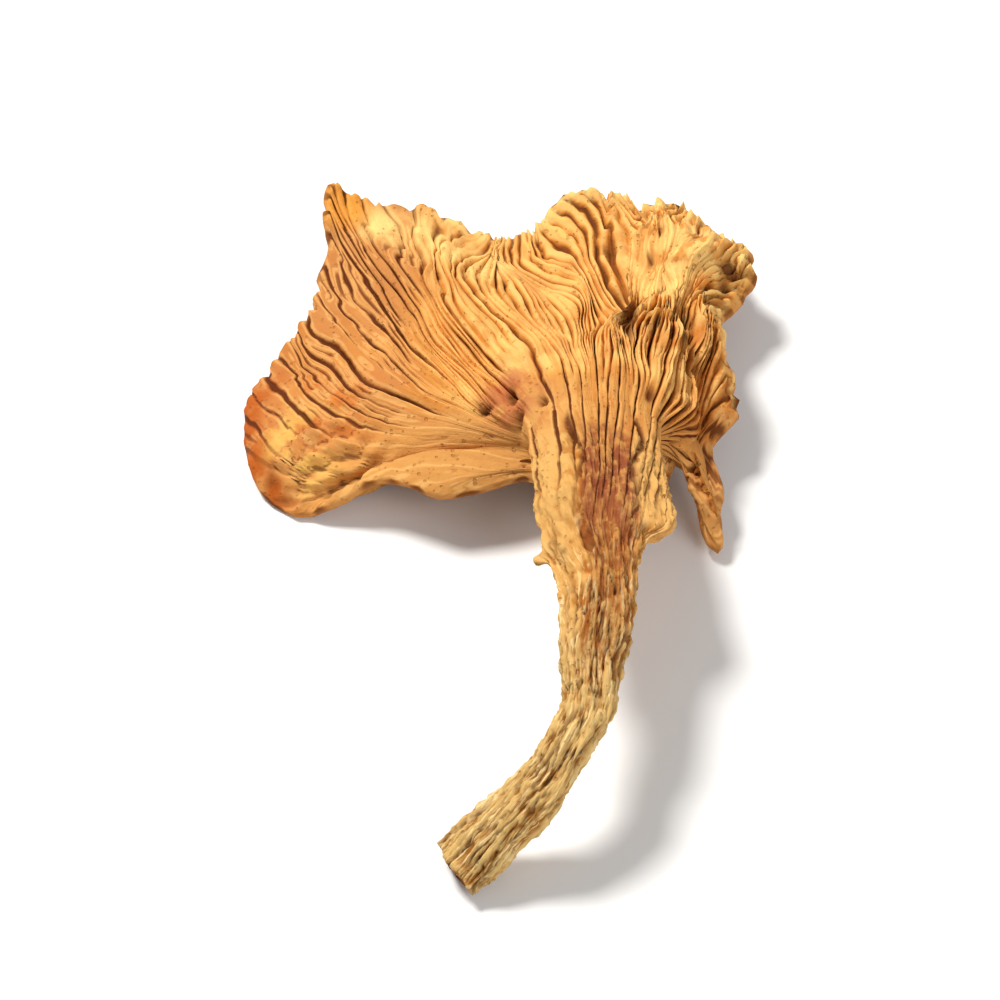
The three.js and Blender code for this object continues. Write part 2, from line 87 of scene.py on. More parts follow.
RIDGE_SWEEP, RIGHT_SWEEP, TOP_SWEEP, BROAD_SHARE = 0.16, 0.07, 0.034, 0.12      # shares of the rim
TOP_AT, TOP_WIDTH = 0.45, 0.055              # farthest ridges: share of the rim, width
CORNER_AT, CORNER_WIDTH = 0.585, 0.08        # far corner of the left lobe
WILD_LIFT, WILD_LEAN = 0.55, 0.7             # extra height (share) and lean (mm) of the right-hand ridges
RING_FOLD, WRINKLE, WAVINESS = 0.85, 0.6, 0.2          # heights of the cap's folds (mm)
EDGE_OUT, FOOT_BULGE = 0.3, 0.35             # how far the rounded edge and the base stand out (mm)
GROOVE, HOLLOW, RIB = 0.28, 0.24, 0.045      # of the stem's section, shares of its half width
STEM_TWIST = math.radians(35)
WING_WIDTH, WING_END = 0.5, 0.27             # thin wing beside the neck: share of half width, of stem length
STEM_FIBRE_TWIST = 0.045                     # further turn of the stem's fibres, radians a mm
NECK_FURROW = 0.36                           # depth of the two grooves on the neck
NECK_FILLET = 0.32                           # how far the corner between neck and cap is filled
SPUR, SPUR_AT = 1.0, (182, 0.33)             # a peeled shred: height (mm), angle (deg) and share of the stem
print("rim places:", len(RIM), "stem places:", len(STEM))

# %% [markdown]
# A smooth curve through a table of places is the oldest tool of a lofted form. All columns of the table go
# through the same curve, so widths and angles change as softly as the path does.

# %% Curves through tables
def mix(a, b, f):
    return a + (b - a) * f


def smooth(a, b, x):
    t = np.clip((x - a) / (b - a), 0, 1)
    return t * t * (3 - 2 * t)


def bell(x, centre, width):
    return np.exp(-((x - centre) / width) ** 2)


def arc_bell(deg, centre, width):
    return bell((deg - centre + 180) % 360 - 180, 0, width)


def wave(turns):
    return np.sin(2 * math.pi * turns)


def unit(v):
    return v / np.maximum(1e-12, np.linalg.norm(v, axis=-1, keepdims=True))


def curve(rows, q, closed):
    n = len(rows)
    i = np.floor(q).astype(int)
    if not closed:
        i = np.clip(i, 0, n - 2)
    f = (q - i)[..., None]
    padded = rows if closed else np.vstack((2 * rows[0] - rows[1], rows, 2 * rows[-1] - rows[-2]))
    first = 0 if closed else 1
    a, b, c, d = (padded[(i + k + first) % len(padded)] for k in (-1, 0, 1, 2))
    bend = 2 * a - 5 * b + 4 * c - d
    twist = 3 * (b - c) + d - a
    return b + 0.5 * f * (c - a + f * (bend + f * twist))


def length_table(rows, closed, steps):
    q = np.linspace(0, len(rows) if closed else len(rows) - 1, steps + 1)
    p = curve(rows, q, closed)[:, :3]
    run = np.concatenate(([0], np.cumsum(np.linalg.norm(np.diff(p, axis=0), axis=1))))
    return run, q


TURN = 360 / len(RIM)
RIM_FREE = RIM.copy()
RIM_FREE[:, 3] -= np.arange(len(RIM)) * TURN
RIM_RUN, RIM_Q = length_table(RIM_FREE, closed=True, steps=1500)
STEM_RUN, STEM_Q = length_table(STEM, closed=False, steps=400)


def rim_at(u):
    q = np.interp(np.mod(u, 1) * RIM_RUN[-1], RIM_RUN, RIM_Q)
    r = curve(RIM_FREE, q, True)
    return r[..., :3], r[..., 3] + q * TURN, np.radians(r[..., 4]), r[..., 5]


print("rim length mm:", round(RIM_RUN[-1], 1), "stem length mm:", round(STEM_RUN[-1], 1))

# %% [markdown]
# Drying crumples the flesh. A sum of slow waves in space bends the whole body at once, so both sides of the
# thin cap move together and never cut through each other. The draws are seeded, so each run is the same.

# %% Crumpling
def random_from(seed):
    state = seed
    full = 0xFFFFFFFF

    def draw():
        nonlocal state
        state = (state + 0x6D2B79F5) & full
        t = ((state ^ (state >> 15)) * (state | 1)) & full
        t ^= (t + (((t ^ (t >> 7)) * (t | 61)) & full)) & full
        return ((t ^ (t >> 14)) & full) / (full + 1)
    return draw


def waves(seed, count, length):
    draw = random_from(seed)
    out = []
    for _ in range(count):
        k = unit(np.array([draw() * 2 - 1 for _ in range(3)]))
        way = unit(np.array([draw() * 2 - 1 for _ in range(3)]))
        k = k * 2 * math.pi / (length * (0.75 + 0.5 * draw()))
        out.append((k, way / math.sqrt(count / 2), draw() * 2 * math.pi))
    return out


BIG, MID, FINE = waves(11, 6, 15), waves(23, 8, 7.5), waves(37, 10, 3.6)


def ripple(p, wave_set):
    return sum(way * np.sin(p @ k + phase)[..., None] for k, way, phase in wave_set)


def crumple(p, big, mid, fine):
    parts = ((big, BIG), (mid, MID), (fine, FINE))
    return p + sum(np.asarray(size)[..., None] * ripple(p, wave_set) for size, wave_set in parts)


print("waves:", len(BIG), len(MID), len(FINE))

# %% [markdown]
# A chanterelle has no blades under its cap but blunt forked ridges, which run down onto the stem. Forks are
# made here by valleys that open at different distances from the neck: one in four always reaches the neck,
# another one in four often does, and the rest start further out, so a broad ridge becomes two and then four.

# %% Where the valleys lie
WANDER, WANDER_RIGHT = 0.13, 0.24            # how far valleys stray, in ridges
LOBE_VALLEY = 50                             # valleys after this one, on the left lobe, open later
FROM_THE_NECK = -9                           # a start so far back that the valley is open all the way
VALLEY_SHIFT, VALLEY_START, RIDGE_SIZE = np.zeros((3, RIDGES))
draw = random_from(5)
for j in range(RIDGES):
    VALLEY_SHIFT[j] = (draw() - 0.5) * 0.4
    late = draw()
    odd = 0.2 + 0.4 * late if j > LOBE_VALLEY else 0.04 + 0.22 * late
    even = FROM_THE_NECK if late < 0.6 else 0.2 * late
    VALLEY_START[j] = {0: FROM_THE_NECK, 2: even}.get(j % 4, odd)
    RIDGE_SIZE[j] = 0.75 + 0.45 * draw()

bold_draw = random_from(61)
VALLEY_BOLD = np.array([(0.35 if j % 2 else 0.6) + 0.4 * bold_draw() for j in range(RIDGES)])
PHASES = np.array([[bold_draw() for _ in range(4)] for _ in range(RIDGES)])


def wander(j, t):
    """Each valley strays a little on its own way to the rim, in ridges."""
    parts = zip((1, 0.7, 0.45, 0.3), (1.3, 2.9, 6.3, 11.7), PHASES[j % RIDGES].T)
    out = sum(size * wave(rate * t + phase) for size, rate, phase in parts)
    share = (np.asarray(j) % RIDGES) / RIDGES
    size = mix(WANDER, WANDER_RIGHT, smooth(0.05, 0.12, share) * (1 - smooth(0.44, 0.54, share)))
    return 0.5 * size * out * smooth(0.05, 0.4, t)


def sway(u, t):
    slow, middling, quick = wave(3 * u + 0.9 * t), wave(7 * u - 1.7 * t + 0.3), wave(19 * u + 3.1 * t)
    return (0.6 * slow + 0.35 * middling + 0.1 * quick) * smooth(0, 0.3, t)


def spread(v):
    """Ridges are broad on the far side of the left lobe and narrower everywhere else."""
    return (v + BROAD_SHARE * smooth(0.57, 0.69, v)) / (1 + BROAD_SHARE)


def sweep(u, t):
    """Near the rim, ridges sweep towards the far side, most on the left, and the farthest lean left."""
    left = smooth(0.42, 0.76, u) * (1 - smooth(0.84, 0.99, u))
    right = smooth(0.09, 0.2, u) * (1 - smooth(0.27, 0.46, u))
    top = TOP_SWEEP * bell(u, TOP_AT, TOP_WIDTH) * smooth(0.35, 1, t)
    return (RIGHT_SWEEP * right - RIDGE_SWEEP * left) * smooth(-0.3, 1.25, t) ** 1.5 + top


def ridge_to_rim(x, t):
    j = np.floor(x).astype(int)
    left, right = (VALLEY_SHIFT[k % RIDGES] + wander(k, t) for k in (j, j + 1))
    shift = mix(left, right, x - j)
    turns = np.floor((x + shift) / RIDGES)
    flat = turns + spread((x + shift) / RIDGES - turns)
    return flat + sway(flat, t) / RIDGES + sweep(flat, t)


def ridge_facts(x):
    """Signed way to the nearest valley, where it opens, how bold it is, and the size of this ridge."""
    near = np.floor(x + 0.5).astype(int) % RIDGES
    return x - near, VALLEY_START[near], VALLEY_BOLD[near], RIDGE_SIZE[np.floor(x).astype(int) % RIDGES]


print("valleys that reach the neck:", int(np.sum(VALLEY_START < 0)))

# %% [markdown]
# The cap is a bent sheet. For every place round the rim one line leaves the neck, dips and flares, and meets
# the rim at its own curl. The sheet also gets its own axes, so that ridges rise square to it.

# %% The sheet of the cap
SIDE = np.array((1.0, 0.0, 0.0))
TOP = np.cross(NECK_DIR, SIDE)
RIM_STEP = 0.012                             # share of the rim over which its direction is measured


def sheet(u, t):
    rim, root_deg, curl, strength = rim_at(u)
    root = np.radians(root_deg)[..., None]
    radial = SIDE * np.cos(root) + TOP * np.sin(root)
    start = NECK + SIDE * NECK_HALF_WIDTH * np.cos(root) + TOP * NECK_HALF_DEPTH * np.sin(root)
    chord = rim - start
    reach = np.linalg.norm(chord, axis=-1)
    along = rim_at(u + RIM_STEP)[0] - rim_at(u - RIM_STEP)[0]
    square = unit(np.stack((along[..., 1], -along[..., 0], 0 * reach), axis=-1))
    level = unit(chord * (1, 1, 0))
    squareness = RIM_SQUARE * (1 - 0.85 * bell(np.mod(u, 1), CORNER_AT, CORNER_WIDTH))
    level = unit(mix(level, square, squareness[..., None]))
    near = np.where(root_deg < 90, smooth(-8, -36, root_deg), smooth(200, 245, root_deg))[..., None]
    flare = mix(FLARE_OUT, FLARE_OUT_TOP, arc_bell(root_deg, 90, 50))[..., None]
    leave = -NECK_DIR * mix(FLARE_DOWN, NEAR_DOWN, near) + radial * mix(flare, NEAR_OUT, near)
    arrive = level * np.cos(curl)[..., None]
    arrive[..., 2] += np.sin(curl)
    t1, reach1 = np.asarray(t)[..., None], reach[..., None]
    t2, t3 = t1 ** 2, t1 ** 3
    p = start * (2 * t3 - 3 * t2 + 1) + leave * (t3 - 2 * t2 + t1) * reach1 * ROOT_BULGE
    p = p + rim * (3 * t2 - 2 * t3) + arrive * (t3 - t2) * reach1 * RIM_PULL
    return p, reach, strength, root_deg


def sheet_frame(u, t):
    p, reach, strength, root = sheet(u, t)
    du = mix(0.008, 0.025, smooth(8, 14, reach))
    along = unit(sheet(u + du, t)[0] - sheet(u - du, t)[0])
    across = sheet(u, np.minimum(1, t + 0.03))[0] - sheet(u, t - 0.05)[0]
    up = unit(np.cross(across, along))
    return p, reach, strength, root, up, np.cross(along, up)


def folds(u, t, p, reach, root):
    right = smooth(-4, 7, p[..., 0])
    room = smooth(2, 14, reach) * np.where(root < 90, smooth(-20, 15, root), 1)
    ring = wave(2.1 * t + 0.004 * root + 0.35) * smooth(0.1, 0.5, t)
    wrinkle = wave(17 * u + 0.8 * t) * smooth(0.2, 0.9, t)
    wavy = wave(9 * u + 0.3) * smooth(0.3, 1, t)
    return room * (right * (RING_FOLD * ring + WRINKLE * wrinkle) + WAVINESS * wavy)


LOBE_FOLD, LOBE_FOLD_GAP, LOBE_FOLD_TURN = 0.32, 1.45, math.radians(31)
# where the left lobe is folded, and where valleys fade out: x, y, half width, half length (mm from the neck),
# and for the valleys a strength
LOBE_PLACE = (-17.8, 1.8, 3.8, 3.6)
CALM_PLACES = ((-9.0, 0.6, 6.0, 3.0, 1.5), (-18.2, 1.6, 3.5, 3.0, 0.75), (5.7, 16.3, 3.0, 4.8, 1.3))
# pockets between the ridges, darkened by painted shade: x, y, half width, half length, depth (mm from the
# neck)
POCKETS = ((2.6, 10.4, 0.45, 3.0, 1.1), (5.8, 10.3, 0.9, 0.8, 1.2), (0.2, 0.4, 0.45, 0.6, 0.5),
           (8.8, 15.0, 0.5, 0.6, 1.0), (8.7, 14.0, 0.4, 0.4, 0.9), (4.65, 14.0, 0.32, 0.42, 0.5),
           (3.9, 17.6, 0.26, 0.5, 0.5), (1.2, 19.4, 0.3, 0.7, 0.7), (3.3, 2.3, 0.35, 0.8, 0.5),
           (-21.6, 0.3, 0.7, 2.0, 0.4), (-5.2, 3.2, 0.34, 0.7, 0.75), (-4.8, 1.6, 0.28, 0.6, 0.75),
           (-7.0, 2.95, 0.7, 0.28, 0.65), (-3.3, 1.9, 0.3, 0.55, 0.75))


def patch(p, x, y, wide, deep):
    """1 in the middle of an oval place on the cap, 0 outside it."""
    return np.exp(-(((p[..., 0] - x) / wide) ** 2 + ((p[..., 1] - y) / deep) ** 2))


def pockets(p):
    """How deep, and how much, a point lies in one of the listed pockets."""
    depth, inside = 0, 0
    for x, y, wide, long, deep in POCKETS:
        share = patch(p, x, y, wide, long)
        depth, inside = np.maximum(depth, share * deep), np.maximum(inside, share * min(1, 0.2 + 1.2 * deep))
    return depth, inside


def lobe_folds(p, t):
    """The curled left lobe has a few folds that run across its ridges."""
    across = p[..., 1] * math.cos(LOBE_FOLD_TURN) - p[..., 0] * math.sin(LOBE_FOLD_TURN)
    bent = across + 0.3 * np.sin(1.1 * p[..., 0]) + 0.16 * np.sin(3.1 * p[..., 0] + 1.0)
    bent = bent + 0.12 * np.sin(5.3 * p[..., 0] + 2.1 * p[..., 1])
    fold = 1 - 2 * np.abs(np.cos(math.pi * bent / LOBE_FOLD_GAP)) ** 1.5
    size = np.minimum(1, 1.4 * patch(p, *LOBE_PLACE)) * smooth(0.3, 0.6, t)
    return LOBE_FOLD * fold * size, 0.8 * size * smooth(-0.35, -0.95, fold)


def cap_crumple(p, t):
    a = smooth(0, 0.45, t)
    right = smooth(-3, 7, p[..., 0])
    return crumple(p, 0.3 * a, (0.2 + 0.35 * right) * a, (0.05 + 0.13 * right) * a)


print("middle of the sheet, far side:", sheet(np.array([0.5]), np.array([0.5]))[0].round(2))

# %% [markdown]
# Three strips of the body come off that sheet: the ridged underside, the rounded edge, and the upper face,
# which lies towards the table. The height of the ridges isn't added yet. Each point only gets an arrow,
# "rise", that says which way and how far its ridge may lift, and the node tree further down does the lifting.

# %% Underside
NICKS, NICK_DEEP = 260, -0.38                # control places of the ragged rim; below this one is torn deeper
nick_draw = random_from(91)
NICK = np.array([nick_draw() - 0.5 for _ in range(NICKS)])
NICK = np.where(NICK < NICK_DEEP, NICK * 2.4, NICK)


def ragged(u, t):
    """The rim is torn a little: deep on the right, fine on the left, hardly at all on the near band."""
    at = np.mod(u, 1) * NICKS
    i = np.floor(at).astype(int)
    nick = mix(NICK[i % NICKS], NICK[(i + 1) % NICKS], smooth(0, 1, at - i))
    size = 0.012 + 0.030 * smooth(0.16, 0.22, u) * (1 - smooth(0.42, 0.5, u))
    size = size + 0.010 * smooth(0.42, 0.5, u) * (1 - smooth(0.66, 0.74, u))
    size = size * (1 - 0.7 * smooth(0.78, 0.84, u))
    return t * (1 + size * nick * smooth(0.55, 1, t))


def fillet(share):
    """Rounds the corner where the cap leaves the neck: full at the neck, gone at a share of 1."""
    return NECK_FILLET * np.clip(1 - share, 0, 1) ** 2


def underside(x, t):
    u = ridge_to_rim(x, t)
    p, reach, strength, root, up, out = sheet_frame(u, ragged(u, t))
    wild = smooth(-1, 6, p[..., 0]) * smooth(0.12, 0.35, t) * smooth(4, 12, reach)
    lift = mix(RIDGE_HEIGHT_NECK, RIDGE_HEIGHT, smooth(0, 0.25, t))
    at_rim = RIDGE_HEIGHT_RIM * (1 + 0.6 * wild)
    lift = mix(lift, at_rim, smooth(0.72, 1, t)) * strength * mix(0.45, 1, smooth(3, 11, reach))
    lift = lift * (1 + WILD_LIFT * wild)
    spread_out = 0.45 * smooth(0.9, 1, t) * strength
    rise = up * lift[..., None] + out * spread_out[..., None]
    lean = np.cross(up, out) * (wild * WILD_LEAN)[..., None]
    lobe, crease = lobe_folds(p, t)
    depth, inside = pockets(p)
    calm = np.minimum(1, sum(strong * patch(p, *spot) for *spot, strong in CALM_PLACES))
    p = p + up * (lobe - depth + folds(u, t, p, reach, root))[..., None] - out * 0.6 * spread_out[..., None]
    turn = np.radians(root)[..., None]
    outward = unit(mix(SIDE * np.cos(turn) + TOP * np.sin(turn), up, smooth(0, 0.12, t)[..., None]))
    p = p + outward * (fillet(t / 0.16) * smooth(6, 12, reach))[..., None]
    sharp = mix(4.6, 1.6, smooth(-4, 6, p[..., 0]))
    pitted = np.maximum(1 - smooth(0.15, 0.5, strength), calm * smooth(-14, -9, p[..., 0]))
    dense = smooth(-15, -5, p[..., 0]) * smooth(0.1, 0.25, t) * smooth(4, 12, reach)
    dense = dense * smooth(0.2, 0.7, strength)
    values = dict(rise=rise, lean=lean, sharp=sharp, wild=wild, dense=dense, pitted=pitted, calm=calm,
                  furrow=crease, pocket=inside)
    return cap_crumple(p, t), reach * t, values


print("torn places of the rim:", int(np.sum(NICK < NICK_DEEP)))

# %% [markdown]
# The edge is a half round that joins the two faces. The upper face is the same sheet once more, moved down by
# the thickness of the flesh, which is greatest in the middle.

# %% Edge and upper face
def edge(u, turn):
    """A point of the rounded rim; turn goes from 0 at the underside to 1 at the upper face."""
    t = np.ones_like(u)
    p, reach, _, root, up, out = sheet_frame(u, ragged(u, t))
    angle = math.pi * turn
    drop = lobe_folds(p, t)[0] + folds(u, t, p, reach, root) - 0.5 * FLESH_RIM * (1 - math.cos(angle))
    p = p + up * drop[..., None] + out * EDGE_OUT * math.sin(angle)
    return cap_crumple(p, t), reach * t


def upper_face(u, t):
    p, reach, _, root, up, _ = sheet_frame(u, ragged(u, t))
    flesh = mix(mix(FLESH_NECK, FLESH_CENTRE, smooth(0, 0.35, t)), FLESH_RIM, smooth(0.2, 1, t))
    flesh = np.maximum(FLESH_RIM, flesh * mix(0.62, 1, smooth(2, 8, reach)))
    p = p + up * (lobe_folds(p, t)[0] - pockets(p)[0] + folds(u, t, p, reach, root) - flesh)[..., None]
    return cap_crumple(p, t), reach * (2 - t)


print("flesh mm at neck, middle and rim:", FLESH_NECK, FLESH_CENTRE, FLESH_RIM)

# %% [markdown]
# The stem is a tube that is swept along a bent path. So the path comes first, and every place on it gets two
# axes that turn as little as they can.

# %% The path of the stem
STEM_STEPS = 200


def stem_frames():
    s = np.linspace(0, 1, STEM_STEPS + 1)
    q = np.interp(s * STEM_RUN[-1], STEM_RUN, STEM_Q)
    row = curve(STEM, q, False)
    last = len(STEM) - 1
    ahead = curve(STEM, np.minimum(last, q + 0.02), False)[:, :3]
    way = unit(ahead - curve(STEM, np.maximum(0, q - 0.02), False)[:, :3])
    way = unit(mix(way, NECK_DIR, (1 - smooth(0, 0.12, s))[:, None]))
    across = np.zeros_like(way)
    e = SIDE
    for i in range(len(s)):
        e = unit(e - way[i] * (e @ way[i]))
        across[i] = e
    return np.hstack((row, way, across))


STEM_FRAMES = stem_frames()


def stem_frame(s):
    x = np.clip(np.asarray(s) * STEM_STEPS, 0, STEM_STEPS - 0.001)
    i = np.floor(x).astype(int)
    row = mix(STEM_FRAMES[i], STEM_FRAMES[i + 1], (x - i)[..., None])
    way = unit(row[..., 5:8])
    e1 = row[..., 8:11]
    e1 = unit(e1 - way * np.sum(e1 * way, axis=-1, keepdims=True))
    return row[..., :3], row[..., 3], row[..., 4], way, e1, np.cross(way, e1)


print("stem base mm:", (stem_frame(1.0)[0] + SHIFT).round(1))

# %% [markdown]
# Its section isn't round: it has a groove on top, a hollow on one side, a thin wing near the cap and a few
# ribs. The tube turns by 35 degrees on its way, and its fibres by about a quarter of a turn, as a drying stem
# does. The ridges of the cap run on down the neck and fade out.

# %% The skin of the stem
def stem_section(deg, s):
    top = arc_bell(deg, 82, 22) * smooth(0, 0.1, s) * (1 - 0.6 * smooth(0.35, 0.7, s))
    side = arc_bell(deg, 215, 28) * smooth(0.05, 0.3, s)
    wing = arc_bell(deg, -8, 20) * np.minimum(1, s / WING_END) ** 2 * (1 - smooth(WING_END, 0.35, s))
    wing = wing * (1 - smooth(0.285, 0.315, s))
    ribs = np.sin(np.radians(5 * deg + 40)) + 0.8 * np.sin(np.radians(8 * deg) + 6 * s)
    return 1 - GROOVE * top - HOLLOW * side + WING_WIDTH * wing + RIB * ribs * smooth(0.05, 0.3, s)


def neck_furrow(deg, s):
    """Two grooves part the neck into a pale left strand, a rough middle and a narrow right strand."""
    left = arc_bell(deg, 113 - 20 * s + 5 * np.sin(33 * s), 5) * (1 - smooth(0.32, 0.5, s))
    right = arc_bell(deg, 50 - 30 * s + 5 * np.sin(41 * s + 1), 5) * (1 - smooth(0.24, 0.32, s))
    return (left + right) * smooth(-0.02, 0.05, s)


def stem_skin(x, s):
    """x is counted in ridges, so the ridges run on down the neck."""
    _, root, _, strength = rim_at(ridge_to_rim(x, 0 * x))
    deg = mix(root, -90 + 360 * x / RIDGES, smooth(0.3, 0.6, s))
    p, width, depth, way, e1, e2 = stem_frame(s)
    roll = (STEM_TWIST * smooth(0.1, 1, s))[..., None]
    side_way = e1 * np.cos(roll) + e2 * np.sin(roll)
    top_way = e2 * np.cos(roll) - e1 * np.sin(roll)
    k = stem_section(deg, s)
    cos, sin = np.cos(np.radians(deg))[..., None], np.sin(np.radians(deg))[..., None]
    p = p + side_way * cos * (width * k)[..., None] + top_way * sin * (depth * k)[..., None]
    fade_out = 0.2 + 0.5 * (RIDGE_SIZE[np.floor(x / 4).astype(int) * 4 % RIDGES] - 0.75)
    reach = sheet(ridge_to_rim(x, 0 * x), 0 * x)[1]
    lift = RIDGE_HEIGHT_NECK * strength * mix(0.45, 1, smooth(3, 11, reach))
    lift = mix(lift, NECK_STRANDS, smooth(0, 0.14, s)) * (1 - smooth(0.04, fade_out, s))
    outward = side_way * cos + top_way * sin
    rise = outward * lift[..., None]
    furrow = neck_furrow(deg, s)
    p = p + outward * (fillet(s / 0.13) * smooth(6, 12, reach))[..., None]
    a = smooth(0, 0.3, s)
    spur = arc_bell(deg, SPUR_AT[0], 9) * bell(s, SPUR_AT[1], 0.011)
    p = p + outward * (SPUR * spur - NECK_FURROW * furrow)[..., None]
    p = p + way * (0.5 * SPUR * spur ** 2)[..., None]
    return crumple(p, 0.3 * a, 0.2 * a, 0.06 * a), rise, deg, furrow


print("section at the wing's end:", stem_section(np.array([-8.0]), WING_END).round(2), "times its half width")

# %% [markdown]
# The strips become one closed mesh, ring by ring. Rings of different counts are zipped together by how far
# round they are. Every point also gets a few named values, which the node tree and the material read:
# its place round and along the body, its valley, and how much it belongs to the stem or the upper face.

# %% Rings and the zipper
KEYS = ("gap", "start", "bold", "size", "sharp", "along", "stem", "face", "about", "wild", "dense", "pitted",
        "calm", "furrow", "pocket")
PLAIN_SHARPNESS = 2.2                        # of the valleys away from the underside
ABOUT_TWO_PI = 6.28                          # makes a ridge about one unit wide on the grain
rings, faces = [], []
store = {"p": [], "rise": [], "lean": [], "grain": [], **{key: [] for key in KEYS}}
count_so_far = 0


def add_ring(p, x, run, **values):
    """Stores one ring of points; x is its place round in ridges and run its way from the neck in mm."""
    global count_so_far
    n = len(p)
    turn = 2 * math.pi * x / RIDGES - STEM_FIBRE_TWIST * min(0, run if np.isscalar(run) else 0)
    round_x, round_y = (part * RIDGES / ABOUT_TWO_PI for part in (np.cos(turn), np.sin(turn)))
    grain = np.stack((round_x, round_y, run + 0 * x), axis=-1)
    gap, start, bold, size = ridge_facts(x)
    gap = (gap + RIDGES / 2) % RIDGES - RIDGES / 2
    arrows = {"p": p, "grain": grain, "rise": np.zeros((n, 3)), "lean": np.zeros((n, 3))}
    plain = {"gap": gap, "start": start, "bold": bold, "size": size, "sharp": PLAIN_SHARPNESS}
    for key in arrows:
        store[key].append(values.get(key, arrows[key]))
    for key in KEYS:
        value = values.get(key, plain.get(key, 0))
        store[key].append(np.broadcast_to(np.asarray(value, float), (n,)))
    rings.append((count_so_far, n, x / RIDGES))
    count_so_far += n


def zip_rings(low, high):
    (a0, n, key_a), (b0, m, key_b) = low, high
    if n == m:
        i = np.arange(n)
        k = (i + 1) % n
        faces.extend(np.stack((a0 + i, b0 + i, b0 + k, a0 + k), axis=-1).tolist())
        return
    key_a, key_b = np.append(key_a, key_a[0] + 1), np.append(key_b, key_b[0] + 1)
    i = j = 0
    while i < n or j < m:
        next_a = key_a[i + 1] if i < n else math.inf
        next_b = key_b[j + 1] if j < m else math.inf
        a, b = a0 + i % n, b0 + j % m
        if next_a < next_b:
            faces.append([a, b, a0 + (i + 1) % n])
            i += 1
        else:
            faces.append([a, b, b0 + (j + 1) % m])
            j += 1


print("values on each point:", ", ".join(KEYS))

# %% [markdown]
# Columns crowd together at the valleys, because that is where the shape turns quickly, and rows are spaced by
# about a quarter of a millimetre. The stem needs fewer columns once its ridges have faded.

# %% Build the body
FINE_COLUMNS = np.array((0, 0.08, 0.18, 0.3, 0.42, 0.5, 0.58, 0.7, 0.82, 0.92))
MANY, SOME, FEW = len(FINE_COLUMNS), 4, 2    # columns to a ridge
MANY_FROM, SOME_FROM, SPLIT = 0.12, 0.3, 0.36          # where they change: underside, upper face, stem
CAP_ROWS, FACE_ROWS, STEM_ROWS, EDGE_TURNS = 76, 30, 165, (0.25, 0.5, 0.75)


def columns(per_ridge):
    part = FINE_COLUMNS if per_ridge == MANY else np.arange(per_ridge) / per_ridge
    return (np.arange(RIDGES)[:, None] + part).ravel()


def build_rings():
    length = STEM_RUN[-1]
    for s in np.linspace(1, 0, STEM_ROWS, endpoint=False):
        x = columns(FEW if s > SPLIT else SOME)
        p, rise, deg, furrow = stem_skin(x, s + 0 * x)
        add_ring(p, x, -s * length, rise=rise, stem=smooth(0, 0.12, s), along=-s, about=deg, furrow=furrow)
    for t in np.linspace(0, 1, CAP_ROWS):
        x = columns(MANY if t > MANY_FROM else SOME)
        p, run, values = underside(x, t + 0 * x)
        add_ring(p, x, run, along=t, **values)
    x = columns(SOME)
    for turn in EDGE_TURNS:
        u = ridge_to_rim(x, 1 + 0 * x)
        p, run = edge(u, turn)
        add_ring(p, x, run, along=1, face=turn)
    for t in np.linspace(1, 0, FACE_ROWS):
        x = columns(SOME if t > SOME_FROM else FEW)
        p, run = upper_face(ridge_to_rim(x, t + 0 * x), t + 0 * x)
        add_ring(p, x, run, along=t, face=1)


build_rings()
for low, high in zip(rings[:-1], rings[1:]):
    zip_rings(low, high)
print("points:", count_so_far, "faces:", len(faces))

# %% [markdown]
# Both ends are closed with a few shrinking rings and a fan of triangles: the blunt base of the stem, and the
# middle of the upper face, where every chanterelle has a small funnel.

# %% Close both ends
def close_end(ring, middle, shares, flip, **values):
    """Draws the ring in towards a middle point and closes it with triangles."""
    first, n, key = ring
    p0 = np.vstack(store["p"])[first:first + n]
    run = np.vstack(store["grain"])[first][2]
    last = ring
    for share in shares:
        add_ring(mix(p0, middle, share), key * RIDGES, run, **values)
        pair = (rings[-1], last) if flip else (last, rings[-1])
        zip_rings(*pair)
        last = rings[-1]
    add_ring(middle[None, :], np.zeros(1), run, **values)
    tip = rings[-1][0]
    for i in range(n):
        a, b = last[0] + i, last[0] + (i + 1) % n
        faces.append([a, b, tip] if flip else [b, a, tip])


end, _, _, end_way, _, _ = stem_frame(1.0)
foot, funnel = rings[0], rings[-1]
close_end(foot, end + end_way * FOOT_BULGE, (0.2, 0.45, 0.75), True, stem=1, along=1)
close_end(funnel, NECK + NECK_DIR * DIMPLE_DEPTH, (0.3, 0.6), False, face=1)

points = np.vstack(store["p"]) + SHIFT
points[:, 2] = np.maximum(0, points[:, 2])
base = bpy.data.meshes.new("mushroom_flesh")
base.from_pydata((points * MM).tolist(), [], faces)
for key, size in (("rise", MM), ("lean", MM), ("grain", 1)):
    layer = base.attributes.new(key, "FLOAT_VECTOR", "POINT")
    layer.data.foreach_set("vector", (np.vstack(store[key]) * size).astype(np.float32).ravel())
for key in KEYS:
    layer = base.attributes.new(key, "FLOAT", "POINT")
    layer.data.foreach_set("value", np.concatenate(store[key]).astype(np.float32))
base.update()
print("closed mesh:", len(base.vertices), "points,", len(base.polygons), "faces")

# %% [markdown]
# Node trees are written as code here. To keep them readable, a value in a tree takes part in ordinary sums:
# each sign places one Math node. The sign | gives the larger of two values, and & the smaller.

# %% Sums in node trees
def place(tree, kind, inputs=(), **settings):
    made = tree.nodes.new(kind)
    for name, value in settings.items():
        setattr(made, name, value)
    for key, value in dict(inputs).items():
        if isinstance(value, Wired):
            tree.links.new(value.socket, made.inputs[key])
        else:
            made.inputs[key].default_value = value
    return made


def wired(tree, kind, inputs=(), output=0, **settings):
    """Places a node and gives one of its outputs, ready for sums."""
    return Wired(tree, place(tree, kind, inputs, **settings).outputs[output])


